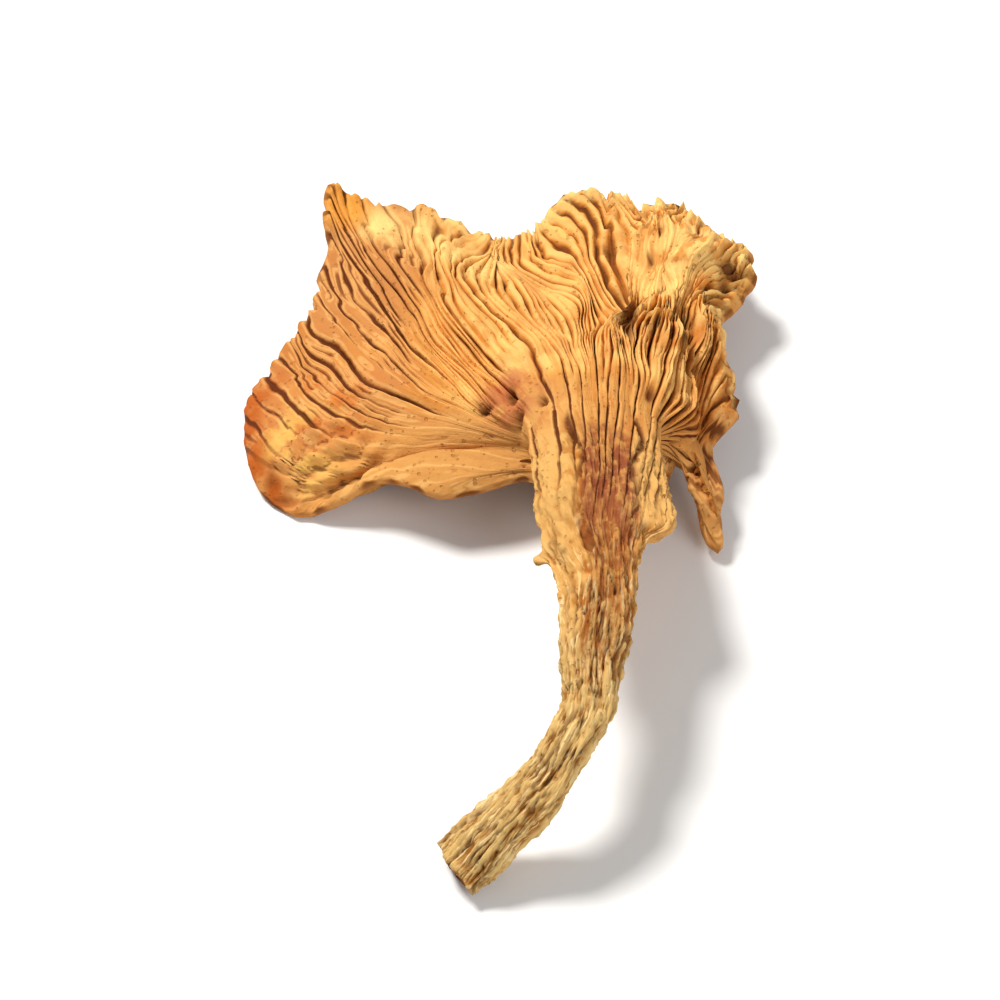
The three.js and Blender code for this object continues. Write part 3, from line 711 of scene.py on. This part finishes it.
class Wired:
    def __init__(self, tree, socket):
        self.tree, self.socket = tree, socket

    def calc(self, operation, *values):
        return wired(self.tree, "ShaderNodeMath", dict(enumerate(values)), operation=operation)

    def __rsub__(self, other):
        return self.calc("SUBTRACT", other, self)

    def __abs__(self):
        return self.calc("ABSOLUTE", self)

    def fade(self, low, high, start=0, end=1, kind="SMOOTHSTEP"):
        """Runs from start at low to end at high."""
        inputs = {"Value": self, "From Min": low, "From Max": high, "To Min": start, "To Max": end}
        return wired(self.tree, "ShaderNodeMapRange", inputs, interpolation_type=kind)

    def pick(self, a, b):
        """a where this mask is 0, b where it is 1."""
        return wired(self.tree, "ShaderNodeMix", {0: self, 2: a, 3: b})

    def scaled(self, factor):
        kind, key = ("MULTIPLY", 1) if isinstance(factor, tuple) else ("SCALE", "Scale")
        return wired(self.tree, "ShaderNodeVectorMath", {0: self, key: factor}, operation=kind)

    def moved(self, way):
        return wired(self.tree, "ShaderNodeVectorMath", {0: self, 1: way}, operation="ADD")


SIGNS = {"mul": "MULTIPLY", "add": "ADD", "sub": "SUBTRACT", "truediv": "DIVIDE", "pow": "POWER",
         "or": "MAXIMUM", "and": "MINIMUM", "lt": "LESS_THAN"}
for sign, operation in SIGNS.items():
    setattr(Wired, f"__{sign}__", lambda a, b, operation=operation: a.calc(operation, a, b))


class Surface:
    """Knows every value that the points carry by its name, such as p.along, and places its node once."""
    def __init__(self, tree):
        self.tree = tree

    def __getattr__(self, name):
        setattr(self, name, self.read(name))
        return self.__dict__[name]

    def fibres(self, stretch, *detail):
        """Noise on the grain of the flesh; a small last number draws it out along the flesh."""
        return self.noise(self.grain.scaled(stretch), 1, *detail)

    def cells(self, vector, size):
        """How far the middle of the nearest cell is, and a random number of that cell."""
        made = place(self.tree, "ShaderNodeTexVoronoi", {"Vector": vector, "Scale": size}).outputs
        away, tint = (Wired(self.tree, made[key]) for key in ("Distance", "Color"))
        return away, wired(self.tree, "ShaderNodeSeparateXYZ", {0: tint})


print("signs that place a node:", ", ".join(SIGNS))

# %% [markdown]
# The ridges are made by a Geometry Nodes tree, because they follow one rule over the whole surface. Its sizes
# are named inputs, and all its noise takes one seed.

# %% What the ridge tree reads
RIDGE_VALUES = {"Ridge lift": 1.0, "Wobble": 0.45, "Gaps in valleys": 0.45, "Fork depth": 0.5,
                "Fibre depth": 0.22 * MM, "Crumple depth": 1.0 * MM, "Stem knobs": 0.6 * MM,
                "Stem bumps": 0.7 * MM, "Stem cracks": 0.22 * MM, "Pit depth": 0.18 * MM,
                "Pocket depth": 0.6 * MM, "Seed": 7}
ARROWS = ("grain", "rise", "lean")


class Shaping(Surface):
    def __init__(self, tree):
        super().__init__(tree)
        inputs = place(tree, "NodeGroupInput").outputs
        self.given = {socket.name: Wired(tree, socket) for socket in inputs if socket.name}
        self.here = wired(tree, "GeometryNodeInputPosition")

    def read(self, name):
        settings = {"output": "Attribute", "data_type": "FLOAT_VECTOR" if name in ARROWS else "FLOAT"}
        return wired(self.tree, "GeometryNodeInputNamedAttribute", {"Name": name}, **settings)

    def noise(self, vector, size, detail=2.0):
        inputs = {"Vector": vector, "W": self.given["Seed"], "Scale": size, "Detail": detail}
        return wired(self.tree, "ShaderNodeTexNoise", inputs, noise_dimensions="4D") - 0.5

    def dots(self, vector, size, wide, share):
        """1 in the middle of scattered dots; share is how many of them are kept."""
        away, luck = self.cells(vector, size)
        return away.fade(wide, wide * 0.3) * (luck < share)


print("tree inputs:", ", ".join(RIDGE_VALUES))

# %% [markdown]
# Each point knows how far it is from its valley. The tree lets that valley open with distance from the neck,
# wobbles it, closes it here and there, and cuts shallower forks into the middle of the wide ridges. What is
# left is the crest, 1 on top of a ridge. It lifts each point along its arrow, and leans the crumpled ridges.

# %% Valleys, forks and crests
def ridge_crest(w):
    way = w.along | 0
    wobble = w.fibres((0.9, 0.9, 0.55)) * (w.given["Wobble"] * w.wild.fade(0, 1, 1, 2.2))
    off = abs(w.gap + wobble) & 0.5
    sharp = w.sharp * w.bold.fade(0.35, 1, 1.5, 0.7)
    valley = (1 - off * 2) ** sharp * w.bold.fade(0.35, 0.8, 0.6, 1)
    gaps = w.given["Gaps in valleys"] * w.wild.fade(0.2, 0.9, 1, 1.8)
    opened = way.fade(w.start, w.start + 0.14) * (1 - w.fibres((0.7, 0.7, 0.3)).fade(-0.02, 0.16) * gaps)
    lively = w.calm.fade(0.2, 0.9, 1, 0.15)
    crest = 1 - opened * lively * valley

    middle = abs(0.5 - abs(w.gap) + wobble * 0.6)
    some = w.fibres((0.45, 0.45, 0.2)).fade(-0.04, 0.08) | (w.dense.fade(0.1, 0.7) * 1.6)
    fork_start = w.dense.fade(0, 1, 0.05, -0.25, "LINEAR")
    fork = middle.fade(0.20, 0) * some * lively * (way - 0.3).fade(fork_start, 0.3)
    return crest - fork * w.given["Fork depth"]


def ridge_arrow(w, crest):
    tilt = w.fibres((0.33, 0.33, 0.5)) * 3
    lifted = w.rise.scaled(crest * w.size * w.given["Ridge lift"])
    return lifted.moved(w.lean.scaled(crest * crest * tilt))


print("valleys:", RIDGES, "bold ones:", int(np.sum(VALLEY_BOLD > 0.7)))

# %% [markdown]
# Dry flesh is never smooth. Fibres run along it, the stem has knobs and small bumps, and the right side of
# the cap is crumpled. Pits, pockets and cracks are then sunk into that skin, and where they lie is kept as a
# value, so that the material paints a dark shade into exactly the same places.

# %% Rough skin, pits and cracks
KNOB_SCALE, CRACK_SCALE, CREASE_SCALE, PIT_SCALE, BUMP_SCALE = 330, 400, 560, 1300, 1350


def rough_skin(w):
    """How far the skin stands out, how high it looks to the material, and its smallest bumps."""
    under, crumple_depth = 1 - w.face, w.given["Crumple depth"]
    cap_fibre = w.fibres((1.5, 1.5, 0.35), 3) * w.calm.fade(0.3, 1, 1, 0.25)
    stem_fibre = w.fibres((0.32, 0.32, 0.3), 4)
    fibre = w.stem.pick(cap_fibre, stem_fibre * 4.5) * w.given["Fibre depth"]
    creases, bumps = w.noise(w.here, CREASE_SCALE), w.noise(w.here, BUMP_SCALE)
    small = bumps + w.fibres((0.95, 0.95, 0.7), 3)
    torn = w.wild * w.calm * under
    crumple = creases * ((w.wild + 0.12) * under * crumple_depth) + torn * bumps * (crumple_depth * 0.5)
    knobs = w.noise(w.here, KNOB_SCALE, 1) * (w.stem * w.given["Stem knobs"])
    knobs = knobs + small * (w.stem * w.given["Stem bumps"])
    relief = w.stem.pick(creases + bumps * (torn * 0.8), (stem_fibre + small) * 0.6)
    return fibre + crumple + knobs, relief, bumps


def sunk_marks(w, bumps):
    """How deep the pits, pockets and cracks go, and where the material paints shade into them."""
    pit = w.dots(w.here, PIT_SCALE, 0.3, 0.22) * (w.pitted * (1 - w.face)) * (1 - w.stem)
    pocket = w.dots(w.grain.scaled((0.5, 0.5, 0.33)), 1, 0.42, 0.3) * w.wild
    line = abs(w.fibres((0.26, 0.26, 0.24)) + bumps * 0.12)
    crack = line.fade(0.045, 0) * w.stem * w.noise(w.here, CRACK_SCALE).fade(-0.14, 0.04)
    crack = crack * w.along.fade(-0.22, -0.44, 0.2, 1)
    sunk = pit * w.given["Pit depth"] + pocket * w.given["Pocket depth"] + crack * w.given["Stem cracks"]
    # the second value marks where painted shade goes: the pits, the pockets and the stem's cracks
    return sunk, (pit * 0.22) | pocket | w.pocket.fade(0.25, 0.75) | crack


print("pits are about", round(1 / PIT_SCALE / MM, 2), "mm apart")

# %% [markdown]
# The whole tree moves the points by both amounts and stores three values for the material. It ends by making
# the result real and giving it its material.

# %% The ridge tree
def ridge_tree(material):
    tree = bpy.data.node_groups.new("Raise the ridges", "GeometryNodeTree")
    tree.is_modifier = True
    for way in ("INPUT", "OUTPUT"):
        tree.interface.new_socket("Geometry", in_out=way, socket_type="NodeSocketGeometry")
    for name, value in RIDGE_VALUES.items():
        kind = "NodeSocketInt" if isinstance(value, int) else "NodeSocketFloat"
        tree.interface.new_socket(name, in_out="INPUT", socket_type=kind)
    w = Shaping(tree)
    crest = ridge_crest(w)
    skin, relief, bumps = rough_skin(w)
    sunk, hollow = sunk_marks(w, bumps)
    outward = wired(tree, "GeometryNodeInputNormal").scaled(skin - sunk)
    shape = {"Geometry": w.given["Geometry"], "Offset": ridge_arrow(w, crest).moved(outward)}
    shape = wired(tree, "GeometryNodeSetPosition", shape)
    for name, value in (("crest", crest), ("hollow", hollow), ("relief", relief)):
        keep = place(tree, "GeometryNodeStoreNamedAttribute", {"Geometry": shape, "Name": name},
                     data_type="FLOAT", domain="POINT")
        tree.links.new(value.socket, keep.inputs["Value"])
        shape = Wired(tree, keep.outputs[0])
    shape = wired(tree, "GeometryNodeRealizeInstances", {"Geometry": shape})
    shape = wired(tree, "GeometryNodeSetMaterial", {"Geometry": shape, "Material": material})
    place(tree, "NodeGroupOutput", {"Geometry": shape})
    print("ridge tree nodes:", len(tree.nodes))
    return tree


# %% [markdown]
# Dried flesh is golden tan on the ridges, and the valleys get a dark brown painted shade, where the light
# reaches least. The rim turns orange, the neck is paler, and the lower stem goes olive. One material carries
# all of that and blends it by the named values on the surface, because the real skin has no seams. Its tones
# stand in one table, and so do the places that have a tone of their own or a painted shade.

# %% Tones and places
# Some of these tones are painted light and shade, not colours of the flesh: the darks in the valleys, pits,
# pockets, cracks, ridge flanks, low folds, part of the brown and on the curled left rim are painted shade,
# and the lighter lips, the lit rim, the stem's raised bumps and partly the pale ridge tops are painted
# highlights.
TONES = {
    "tan": (0.48, 0.155, 0.024), "light tan": (0.58, 0.225, 0.040), "streak": (0.70, 0.34, 0.085),
    "dark fleck": (0.40, 0.105, 0.014), "rosy tan": (0.51, 0.200, 0.060), "straw gold": (0.74, 0.42, 0.12),
    "smooth band": (0.62, 0.31, 0.085), "orange flank": (0.60, 0.20, 0.020),
    "pale ridge": (0.82, 0.48, 0.135), "bleached ridge": (0.93, 0.61, 0.20), "lip": (0.80, 0.45, 0.15),
    "shaded fold": (0.60, 0.19, 0.020), "brown": (0.48, 0.140, 0.018), "ruddy": (0.47, 0.135, 0.050),
    "cap hollow shade": (0.13, 0.030, 0.005), "bleached rim": (0.90, 0.58, 0.20), "orange tip": (0.80, 0.33, 0.045),
    "red blotch": (0.55, 0.135, 0.020), "gold": (0.82, 0.47, 0.11), "curled rim shade": (0.42, 0.088, 0.009),
    "skin": (0.42, 0.15, 0.030), "light skin": (0.60, 0.27, 0.065), "skin streak": (0.26, 0.085, 0.02),
    "olive": (0.36, 0.143, 0.026), "lit olive": (0.69, 0.44, 0.155), "straw": (0.43, 0.140, 0.016),
    "lit straw": (0.68, 0.33, 0.085), "stem fleck": (0.88, 0.66, 0.32),
    "left strand": (0.68, 0.38, 0.115), "right strand": (0.70, 0.39, 0.12),
    "purple brown": (0.26, 0.065, 0.028), "red brown": (0.32, 0.095, 0.018),
    "stem crack shade": (0.11, 0.036, 0.008), "valley": (0.10, 0.020, 0.004), "lit rim": (0.88, 0.56, 0.19),
    "pit": (0.32, 0.095, 0.020),
}
# places: x, y, z, full within and gone beyond (mm)
# brown stains; the last two brown places are painted shade on the lower right of the crumpled side
BROWN_AND_SHADE_PLACES = ((11.1, 10.8, 7.0, 0.5, 3.2), (14.4, 12.6, 5.5, 0.5, 3.4), (13.2, 6.8, 4.8, 0.5, 4.4),
                (15.4, 9.4, 5.0, 0.5, 4.2))
PALE_PLACES = ((-8.2, 25.8, 3.2, 0.5, 2.7), (-6.2, 25.2, 3.0, 0.5, 3.2), (-3.8, 23.9, 3.1, 0.5, 3.4),
               (-1.2, 22.6, 3.1, 0.5, 3.2))
RUDDY_PLACE, TIP_PLACE = (0.6, 6.9, 7.1, 0.8, 3.6), (-10.7, 26.9, 3.9, 0.8, 2.6)
BLOTCH_PLACE, GOLD_PLACE = (-11.3, 9.3, 2.0, 1.0, 5.5), (-14.0, 6.1, 1.5, 1.0, 5.5)
# the first place on the next line is painted shade on the rim where the left lobe curls down
CURLED_RIM_SHADE_PLACE, FLAP_PLACE = (-16.2, 8.0, 1.0, 3.5, 8.5), (14.5, -1.0, 1.6, 2.0, 6.0)
print("tones:", len(TONES), "brown and pale places:", len(BROWN_AND_SHADE_PLACES), len(PALE_PLACES))

# %% [markdown]
# The material reads the same values as the tree does. It lays its tones in thin coats, as a painter glazes:
# each coat is a tone and the share of it that shows, which changes over the surface.

# %% Coats of paint
class Painting(Surface):
    def __init__(self, tree):
        super().__init__(tree)
        self.here = wired(tree, "ShaderNodeTexCoord", output="Object")

    def read(self, name):
        output = "Vector" if name in ARROWS else "Fac"
        return wired(self.tree, "ShaderNodeAttribute", output=output, attribute_name=name)

    def noise(self, vector, size, detail=3, rough=0.55):
        inputs = {"Vector": vector, "Scale": size, "Detail": detail, "Roughness": rough}
        return wired(self.tree, "ShaderNodeTexNoise", inputs)

    def cloud(self, size, *limits):
        """Soft patches of noise, faded between limits."""
        return self.noise(self.here, size).fade(*limits)

    def shifted(self, value, size, much):
        """Moves a value up and down by noise, so that a border between tones isn't straight."""
        return value + (self.noise(self.here, size) - 0.5) * much

    def drift(self, size):
        """An arrow of noise, which bends a pattern."""
        return wired(self.tree, "ShaderNodeTexNoise", {"Vector": self.here, "Scale": size}, 1)

    def blend(self, share, a, b):
        a, b = ((*TONES[tone], 1) if isinstance(tone, str) else tone for tone in (a, b))
        return wired(self.tree, "ShaderNodeMix", {0: share, 6: a, 7: b}, 2, data_type="RGBA")

    def coats(self, tone, *coats):
        """Lays coats over a tone, one after another; a coat is a share and a tone."""
        for share, coat in coats:
            tone = self.blend(share, tone, coat)
        return tone

    def near(self, spot):
        """1 close to a place and 0 away from it."""
        x, y, z, inner, outer = spot
        inputs = {0: self.here, 1: (x * MM, y * MM, z * MM)}
        away = wired(self.tree, "ShaderNodeVectorMath", inputs, "Value", operation="DISTANCE")
        return away.fade(outer * MM, inner * MM)

    def near_any(self, spots):
        found = 0
        for spot in spots:
            found = self.near(spot) | found
        return found


print("ways to paint:", [word for word in vars(Painting) if not word.startswith("_")])

# %% [markdown]
# The ground is two tans in slow clouds, with streaks along the grain and darker flecks. Broad ridges are
# rosier, the crumpled side is golden, and the smooth band at the near rim is lighter. Each ridge then gets a
# darker orange flank as painted shade, a pale top that is partly paler flesh and partly a painted highlight,
# a thin painted highlight on the lip where it falls into its valley, and painted shade in the low folds of
# the crumpled side.

# %% Ground and ridges
def ground_tone(p, streak):
    rosy = p.dense.fade(0.4, 0) * p.cloud(120, 0.4, 0.6, 0.3, 0.8)
    return p.coats(p.blend(p.cloud(170, 0.35, 0.65), "tan", "light tan"),
                   (streak.fade(0.42, 0.62, 0, 0.5), "streak"),
                   (p.cloud(420, 0.52, 0.70, 0, 0.45), "dark fleck"),
                   (rosy, "rosy tan"),
                   (p.wild * 0.5, "straw gold"),
                   (p.pitted.fade(0.2, 0.9, 0, 0.6), "smooth band"))


def ridge_tones(p, ground, streak, ridged):
    # painted shade: darker orange on the slopes of the ridges
    flank_shade = p.crest.fade(0.86, 0.60) * (p.dense * ridged)
    uneven = p.relief.fade(-0.12, 0.06, 0.35, 1) * streak.fade(0.38, 0.58, 0.45, 1)
    # partly paler flesh, as on the torn side, and partly a painted highlight on the ridge tops
    pale = p.dense.fade(0.1, 0.8) | p.along.fade(0.3, 0.02, 0, 0.35)
    pale = pale * (uneven | (p.wild * 0.6)) * (p.crest.fade(0.45, 0.85) * ridged)
    # painted highlight: a thin lighter lip along the edge of each crest
    lip = p.crest.fade(0.60, 0.86) * p.crest.fade(0.99, 0.90)
    shade = p.relief.fade(0, -0.14) * (p.wild * 0.65)
    return p.coats(ground,
                   (flank_shade * 0.45, "orange flank"),
                   (pale, p.blend(p.wild, "pale ridge", "bleached ridge")),
                   (lip * ridged * 0.5, "lip"),
                   (shade * ridged, "shaded fold"))


print("palest ridge:", TONES["bleached ridge"], "flank:", TONES["orange flank"])

# %% [markdown]
# A dried mushroom is never even. Some places went brown, ruddy or gold, and the far rim bleached. The
# last two brown places are painted shade on the lower right of the crumpled side, the rim where the left lobe
# curls down gets a painted shade, and so do the pits and pockets. Each stain is a cloud of noise that is kept
# near its place.

# %% Stains and the upper skin
def stains(p, flesh, far_rim):
    # painted shade: darker rim where the left lobe curls down
    curled_rim_shade = p.near(CURLED_RIM_SHADE_PLACE) * p.along.fade(0.83, 0.96)
    return p.coats(flesh,
                   # brown stains, and painted shade at the last two brown places
                   (p.near_any(BROWN_AND_SHADE_PLACES) * p.cloud(700, 0.38, 0.56, 0.2, 0.85), "brown"),
                   (p.near(RUDDY_PLACE) * p.cloud(620, 0.40, 0.56, 0.2, 0.85), "ruddy"),
                   # painted shade: dark brown in the pits and pockets of the cap
                   (p.hollow * 0.9, "cap hollow shade"),
                   (far_rim * p.cloud(420, 0.36, 0.58, 0.35, 0.95), "bleached rim"),
                   (p.near(TIP_PLACE) * 0.75, "orange tip"),
                   (p.near(BLOTCH_PLACE) * p.cloud(560, 0.46, 0.60) * 0.75, "red blotch"),
                   (p.near(GOLD_PLACE) * p.cloud(380, 0.44, 0.58) * 0.75, "gold"),
                   (curled_rim_shade * p.cloud(480, 0.36, 0.58, 0.35, 0.95), "curled rim shade"))


def upper_skin(p):
    return p.coats(p.blend(p.cloud(200, 0.35, 0.65), "skin", "light skin"),
                   (p.fibres((0.6, 0.6, 0.1)).fade(0.5, 0.7, 0, 0.5), "skin streak"))


print("hollow shades:", TONES["cap hollow shade"], "curled rim shade:", TONES["curled rim shade"])

# %% [markdown]
# The stem is straw near the cap and olive further down, with a painted highlight on its raised ribs and
# bumps and a painted shade in its grooves. On the neck a pale strand runs on the left and another on the
# right, with a rough, reddish zone between them.

# %% The stem's tones
def rough_zone(p):
    middle, half = (p.along.fade(-0.12, -0.42, *ends, "LINEAR") for ends in ((81, 52), (30, 62)))
    aside = abs(p.about - middle) / half
    patchy = p.shifted(p.relief, 1300, 0.5).fade(0.16, -0.10, 0.3, 0.9)
    top_end = p.shifted(p.along, 650, 0.25).fade(-0.01, -0.10)
    return aside.fade(1, 0.7) * p.along.fade(-0.66, -0.46) * patchy * top_end


def stem_tone(p):
    # painted highlight on the raised bumps and painted shade in the low places of the stem
    lit_bumps = p.relief.fade(-0.12, 0.05)
    olive, straw = p.blend(lit_bumps, "olive", "lit olive"), p.blend(lit_bumps, "straw", "lit straw")
    wavy = p.grain.moved(p.drift(420).scaled(3)).scaled((0.9, 0.9, 0.45))
    flecks = p.noise(wavy, 1, 3).fade(0.54, 0.63, 0, 0.8) * p.along.fade(-0.2, -0.4)
    left = p.about.fade(104, 122) * p.along.fade(-0.5, -0.3) * p.relief.fade(-0.16, -0.02, 0.4, 0.85)
    right = p.about.fade(58, 48) * p.along.fade(-0.33, -0.24) * (p.about.fade(-60, -30) * 0.85)
    reddish = p.blend(p.along.fade(-0.2, -0.45), "purple brown", "red brown")
    return p.coats(p.blend(p.along.fade(-0.34, -0.6), straw, olive),
                   (flecks, "stem fleck"),
                   (left, "left strand"),
                   (right, "right strand"),
                   (rough_zone(p), reddish),
                   # painted shade: dark in the stem's cracks
                   (p.hollow * 0.85, "stem crack shade"))


print("stem tones:", [name for name in TONES if "olive" in name or "straw" in name or "strand" in name])

# %% [markdown]
# Valleys get their painted shade after that, so that no stain covers it, and so do the creases of the
# folded lobe and the grooves of the neck. The shade stays lighter on the bleached rim, on the flap and on the
# torn side, where light comes through. The rim itself catches the light on the far side, as a painted
# highlight, and pin pricks are scattered over everything: bent cells, each of its own size, kept in patches.

# %% Valleys, lit rim and pin pricks
PRICK_SCALE, PRICK_BEND = 2700, 0.3 * MM


def valley_tones(p, flesh, far_rim, ridged):
    # painted shade: dark brown in the valleys between the ridges, where little light reaches
    deep = p.crest.fade(0.64, 0.2) | (p.crest.fade(0.80, 0.45) * p.dense.fade(0.5, 0.1))
    deep = deep * (ridged * p.along.fade(-0.32, -0.12)) * p.pitted.fade(0.25, 0.9, 0.95, 0.25)
    frill = p.wild * p.along.fade(0.55, 0.9, 0.3, 1)
    for lighter, share in ((p.near(FLAP_PLACE), 0.6), (far_rim, 0.75), (frill, 0.55)):
        deep = deep * (1 - lighter * share)
    # painted shade in the creases of the lobe's folds and in the neck's grooves
    crease_shade = p.furrow.fade(0.4, 0.95) * p.cloud(750, 0.36, 0.52, 0.25, 0.9)
    crease_shade = crease_shade * p.along.fade(-0.30, -0.12, 0.25, 1)
    lit_rim = p.along.fade(0.955, 0.99) * (ridged * p.dense.fade(0.05, 0.6))
    lit_rim = lit_rim * p.cloud(600, 0.4, 0.55, 0.1, 0.75)
    return p.coats(flesh, (deep | crease_shade, "valley"), (lit_rim, "lit rim"))


def pin_pricks(p):
    bent = p.here.moved(p.drift(1500).scaled(PRICK_BEND))
    away, luck = p.cells(bent, PRICK_SCALE)
    return (away - luck ** 2 * 0.42).fade(0.04, -0.12) * p.cloud(500, 0.32, 0.56)


print("pin pricks are about", round(1 / PRICK_SCALE / MM, 2), "mm apart")

# %% [markdown]
# One shader puts the tones, the pricks, a fine bump and a matt roughness together. The bump only adds what is
# too fine to be a shape.

# %% Dried flesh
BUMP_STRENGTH, BUMP_DEPTH, SHINE = 0.8, 0.28 * MM, 0.08


def dried_flesh():
    material = bpy.data.materials.new("dried_flesh")
    material.use_nodes = True
    tree = material.node_tree
    tree.nodes.clear()
    p = Painting(tree)
    streak, ridged, far_rim = p.fibres((1.3, 1.3, 0.16), 4), 1 - p.face, p.near_any(PALE_PLACES)
    flesh = stains(p, ridge_tones(p, ground_tone(p, streak), streak, ridged), far_rim)
    on_stem = p.shifted(p.along, 420, 0.22).fade(0, -0.14)
    flesh = p.coats(flesh, (p.face, upper_skin(p)), (on_stem, stem_tone(p)))
    pricks = pin_pricks(p)
    flesh = valley_tones(p, flesh, far_rim, ridged)
    flesh = p.blend(pricks * p.pitted.fade(0, 1, 0.4, 0.5), flesh, "pit")

    height = p.fibres((2.2, 2.2, 0.6), 5, 0.6) * 0.5 + p.noise(p.here, 2600, 4) * 0.35 - pricks * 0.35
    bump = {"Height": height, "Strength": BUMP_STRENGTH, "Distance": BUMP_DEPTH}
    rough = p.noise(p.here, 700).fade(0.3, 0.7, 0.58, 0.86, "LINEAR")
    shader = wired(tree, "ShaderNodeBsdfPrincipled", {
        "Base Color": flesh, "Roughness": rough, "Normal": wired(tree, "ShaderNodeBump", bump),
        "Specular IOR Level": SHINE})
    place(tree, "ShaderNodeOutputMaterial", {"Surface": shader})
    return material


flesh_material = dried_flesh()
print("material nodes:", len(flesh_material.node_tree.nodes))

# %% [markdown]
# The modifier gets its values by socket identifier, is evaluated once, and the result is kept as a plain
# mesh. The modifier is then gone.

# %% Raise the ridges
def show(name, data):
    obj = bpy.data.objects.new(name, data)
    bpy.context.scene.collection.objects.link(obj)
    return obj


tree = ridge_tree(flesh_material)
raw = show("raw_mushroom", base)
modifier = raw.modifiers.new("Raise the ridges", "NODES")
modifier.node_group = tree
for item in tree.interface.items_tree:
    if item.item_type == "SOCKET" and item.in_out == "INPUT" and item.name in RIDGE_VALUES:
        modifier[item.identifier] = RIDGE_VALUES[item.name]
bpy.context.view_layer.update()
graph = bpy.context.evaluated_depsgraph_get()
evaluated = raw.evaluated_get(graph)
flesh = bpy.data.meshes.new_from_object(evaluated, preserve_all_data_layers=True, depsgraph=graph)
raw.modifiers.clear()
bpy.data.objects.remove(raw)
print("mushroom triangles:", sum(len(f.vertices) - 2 for f in flesh.polygons))

# %% [markdown]
# Nothing may dip below the table, so the lowest points are set level with it. Then the mesh takes the place
# of the packed solid and rides on the only body there is.

# %% Set the piece on its body
corners = np.empty(len(flesh.vertices) * 3, np.float32)
flesh.vertices.foreach_get("co", corners)
corners[2::3] = np.maximum(0, corners[2::3])
flesh.vertices.foreach_set("co", corners)
flesh.update()
flesh.name = "dried_mushroom"
flesh.shade_smooth()
mushroom = show("dried_mushroom", flesh)
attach(mushroom, "root")
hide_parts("mushroom")
print("points on the table:", int(np.sum(corners[2::3] <= 0)))

# %% [markdown]
# A plain white sweep, a large soft light from behind on the left, and a weak fill from the front. Shadows
# then fall softly to the right and towards the viewer, and every ridge shows by its own shade.

# %% Floor and light
TABLE_TONE, TABLE_ROUGHNESS, TABLE_HALF, TABLE_DROP = (0.86, 0.86, 0.86, 1.0), 0.7, 3.0, 0.02 * MM
KEY_POWER, FILL_POWER, SKY_STRENGTH = 4.35, 2.8, 0.31
LIT_POINT = Vector((0, 0, 0.005))

mesh = bpy.data.meshes.new("floor")
sides = ((-1, -1), (1, -1), (1, 1), (-1, 1))
mesh.from_pydata([(x * TABLE_HALF, y * TABLE_HALF, 0) for x, y in sides], [], [(0, 1, 2, 3)])
material = bpy.data.materials.new("white_table")
material.use_nodes = True
finish = material.node_tree.nodes["Principled BSDF"].inputs
finish["Base Color"].default_value = TABLE_TONE
finish["Roughness"].default_value = TABLE_ROUGHNESS
mesh.materials.append(material)
obj = show("floor", mesh)
obj.location.z = -TABLE_DROP


def area_light(name, where, size, power, tint):
    data = bpy.data.lights.new(name, "AREA")
    data.shape, data.size, data.energy, data.color = "DISK", size, power, tint
    light = show(name, data)
    light.location = where
    light.rotation_euler = (LIT_POINT - Vector(where)).to_track_quat("-Z", "Y").to_euler()


area_light("key", (-0.24, 0.24, 0.49), 0.18, KEY_POWER, (1.0, 0.98, 0.94))
area_light("fill", (0.42, -0.48, 0.45), 0.6, FILL_POWER, (1, 1, 1))
world = bpy.data.worlds.new("studio")
world.use_nodes = True
sky = world.node_tree.nodes["Background"].inputs
sky["Color"].default_value = (1, 1, 1, 1)
sky["Strength"].default_value = SKY_STRENGTH
bpy.context.scene.world = world
bpy.context.scene.view_settings.view_transform = "Standard"
print("lights in watts:", KEY_POWER, FILL_POWER)

# %% [markdown]
# The camera looks down at fifty degrees through a long lens, which keeps the near and far rims in the same
# proportion.

# %% Camera
CAMERA_ELEVATION = math.radians(50)
CAMERA_DISTANCE, LENS, SENSOR = 0.46, 250.0, 36.0
AIM = Vector((0.0, 0.0, 0.0045))

data = bpy.data.cameras.new("camera")
data.lens, data.sensor_width = LENS, SENSOR
data.clip_start, data.clip_end = 0.01, 20
camera = show("camera", data)
back = Vector((0, -math.cos(CAMERA_ELEVATION), math.sin(CAMERA_ELEVATION)))
camera.location = AIM + back * CAMERA_DISTANCE
camera.rotation_euler = (-back).to_track_quat("-Z", "Y").to_euler()
bpy.context.scene.camera = camera
print("camera at:", [round(v, 3) for v in camera.location])
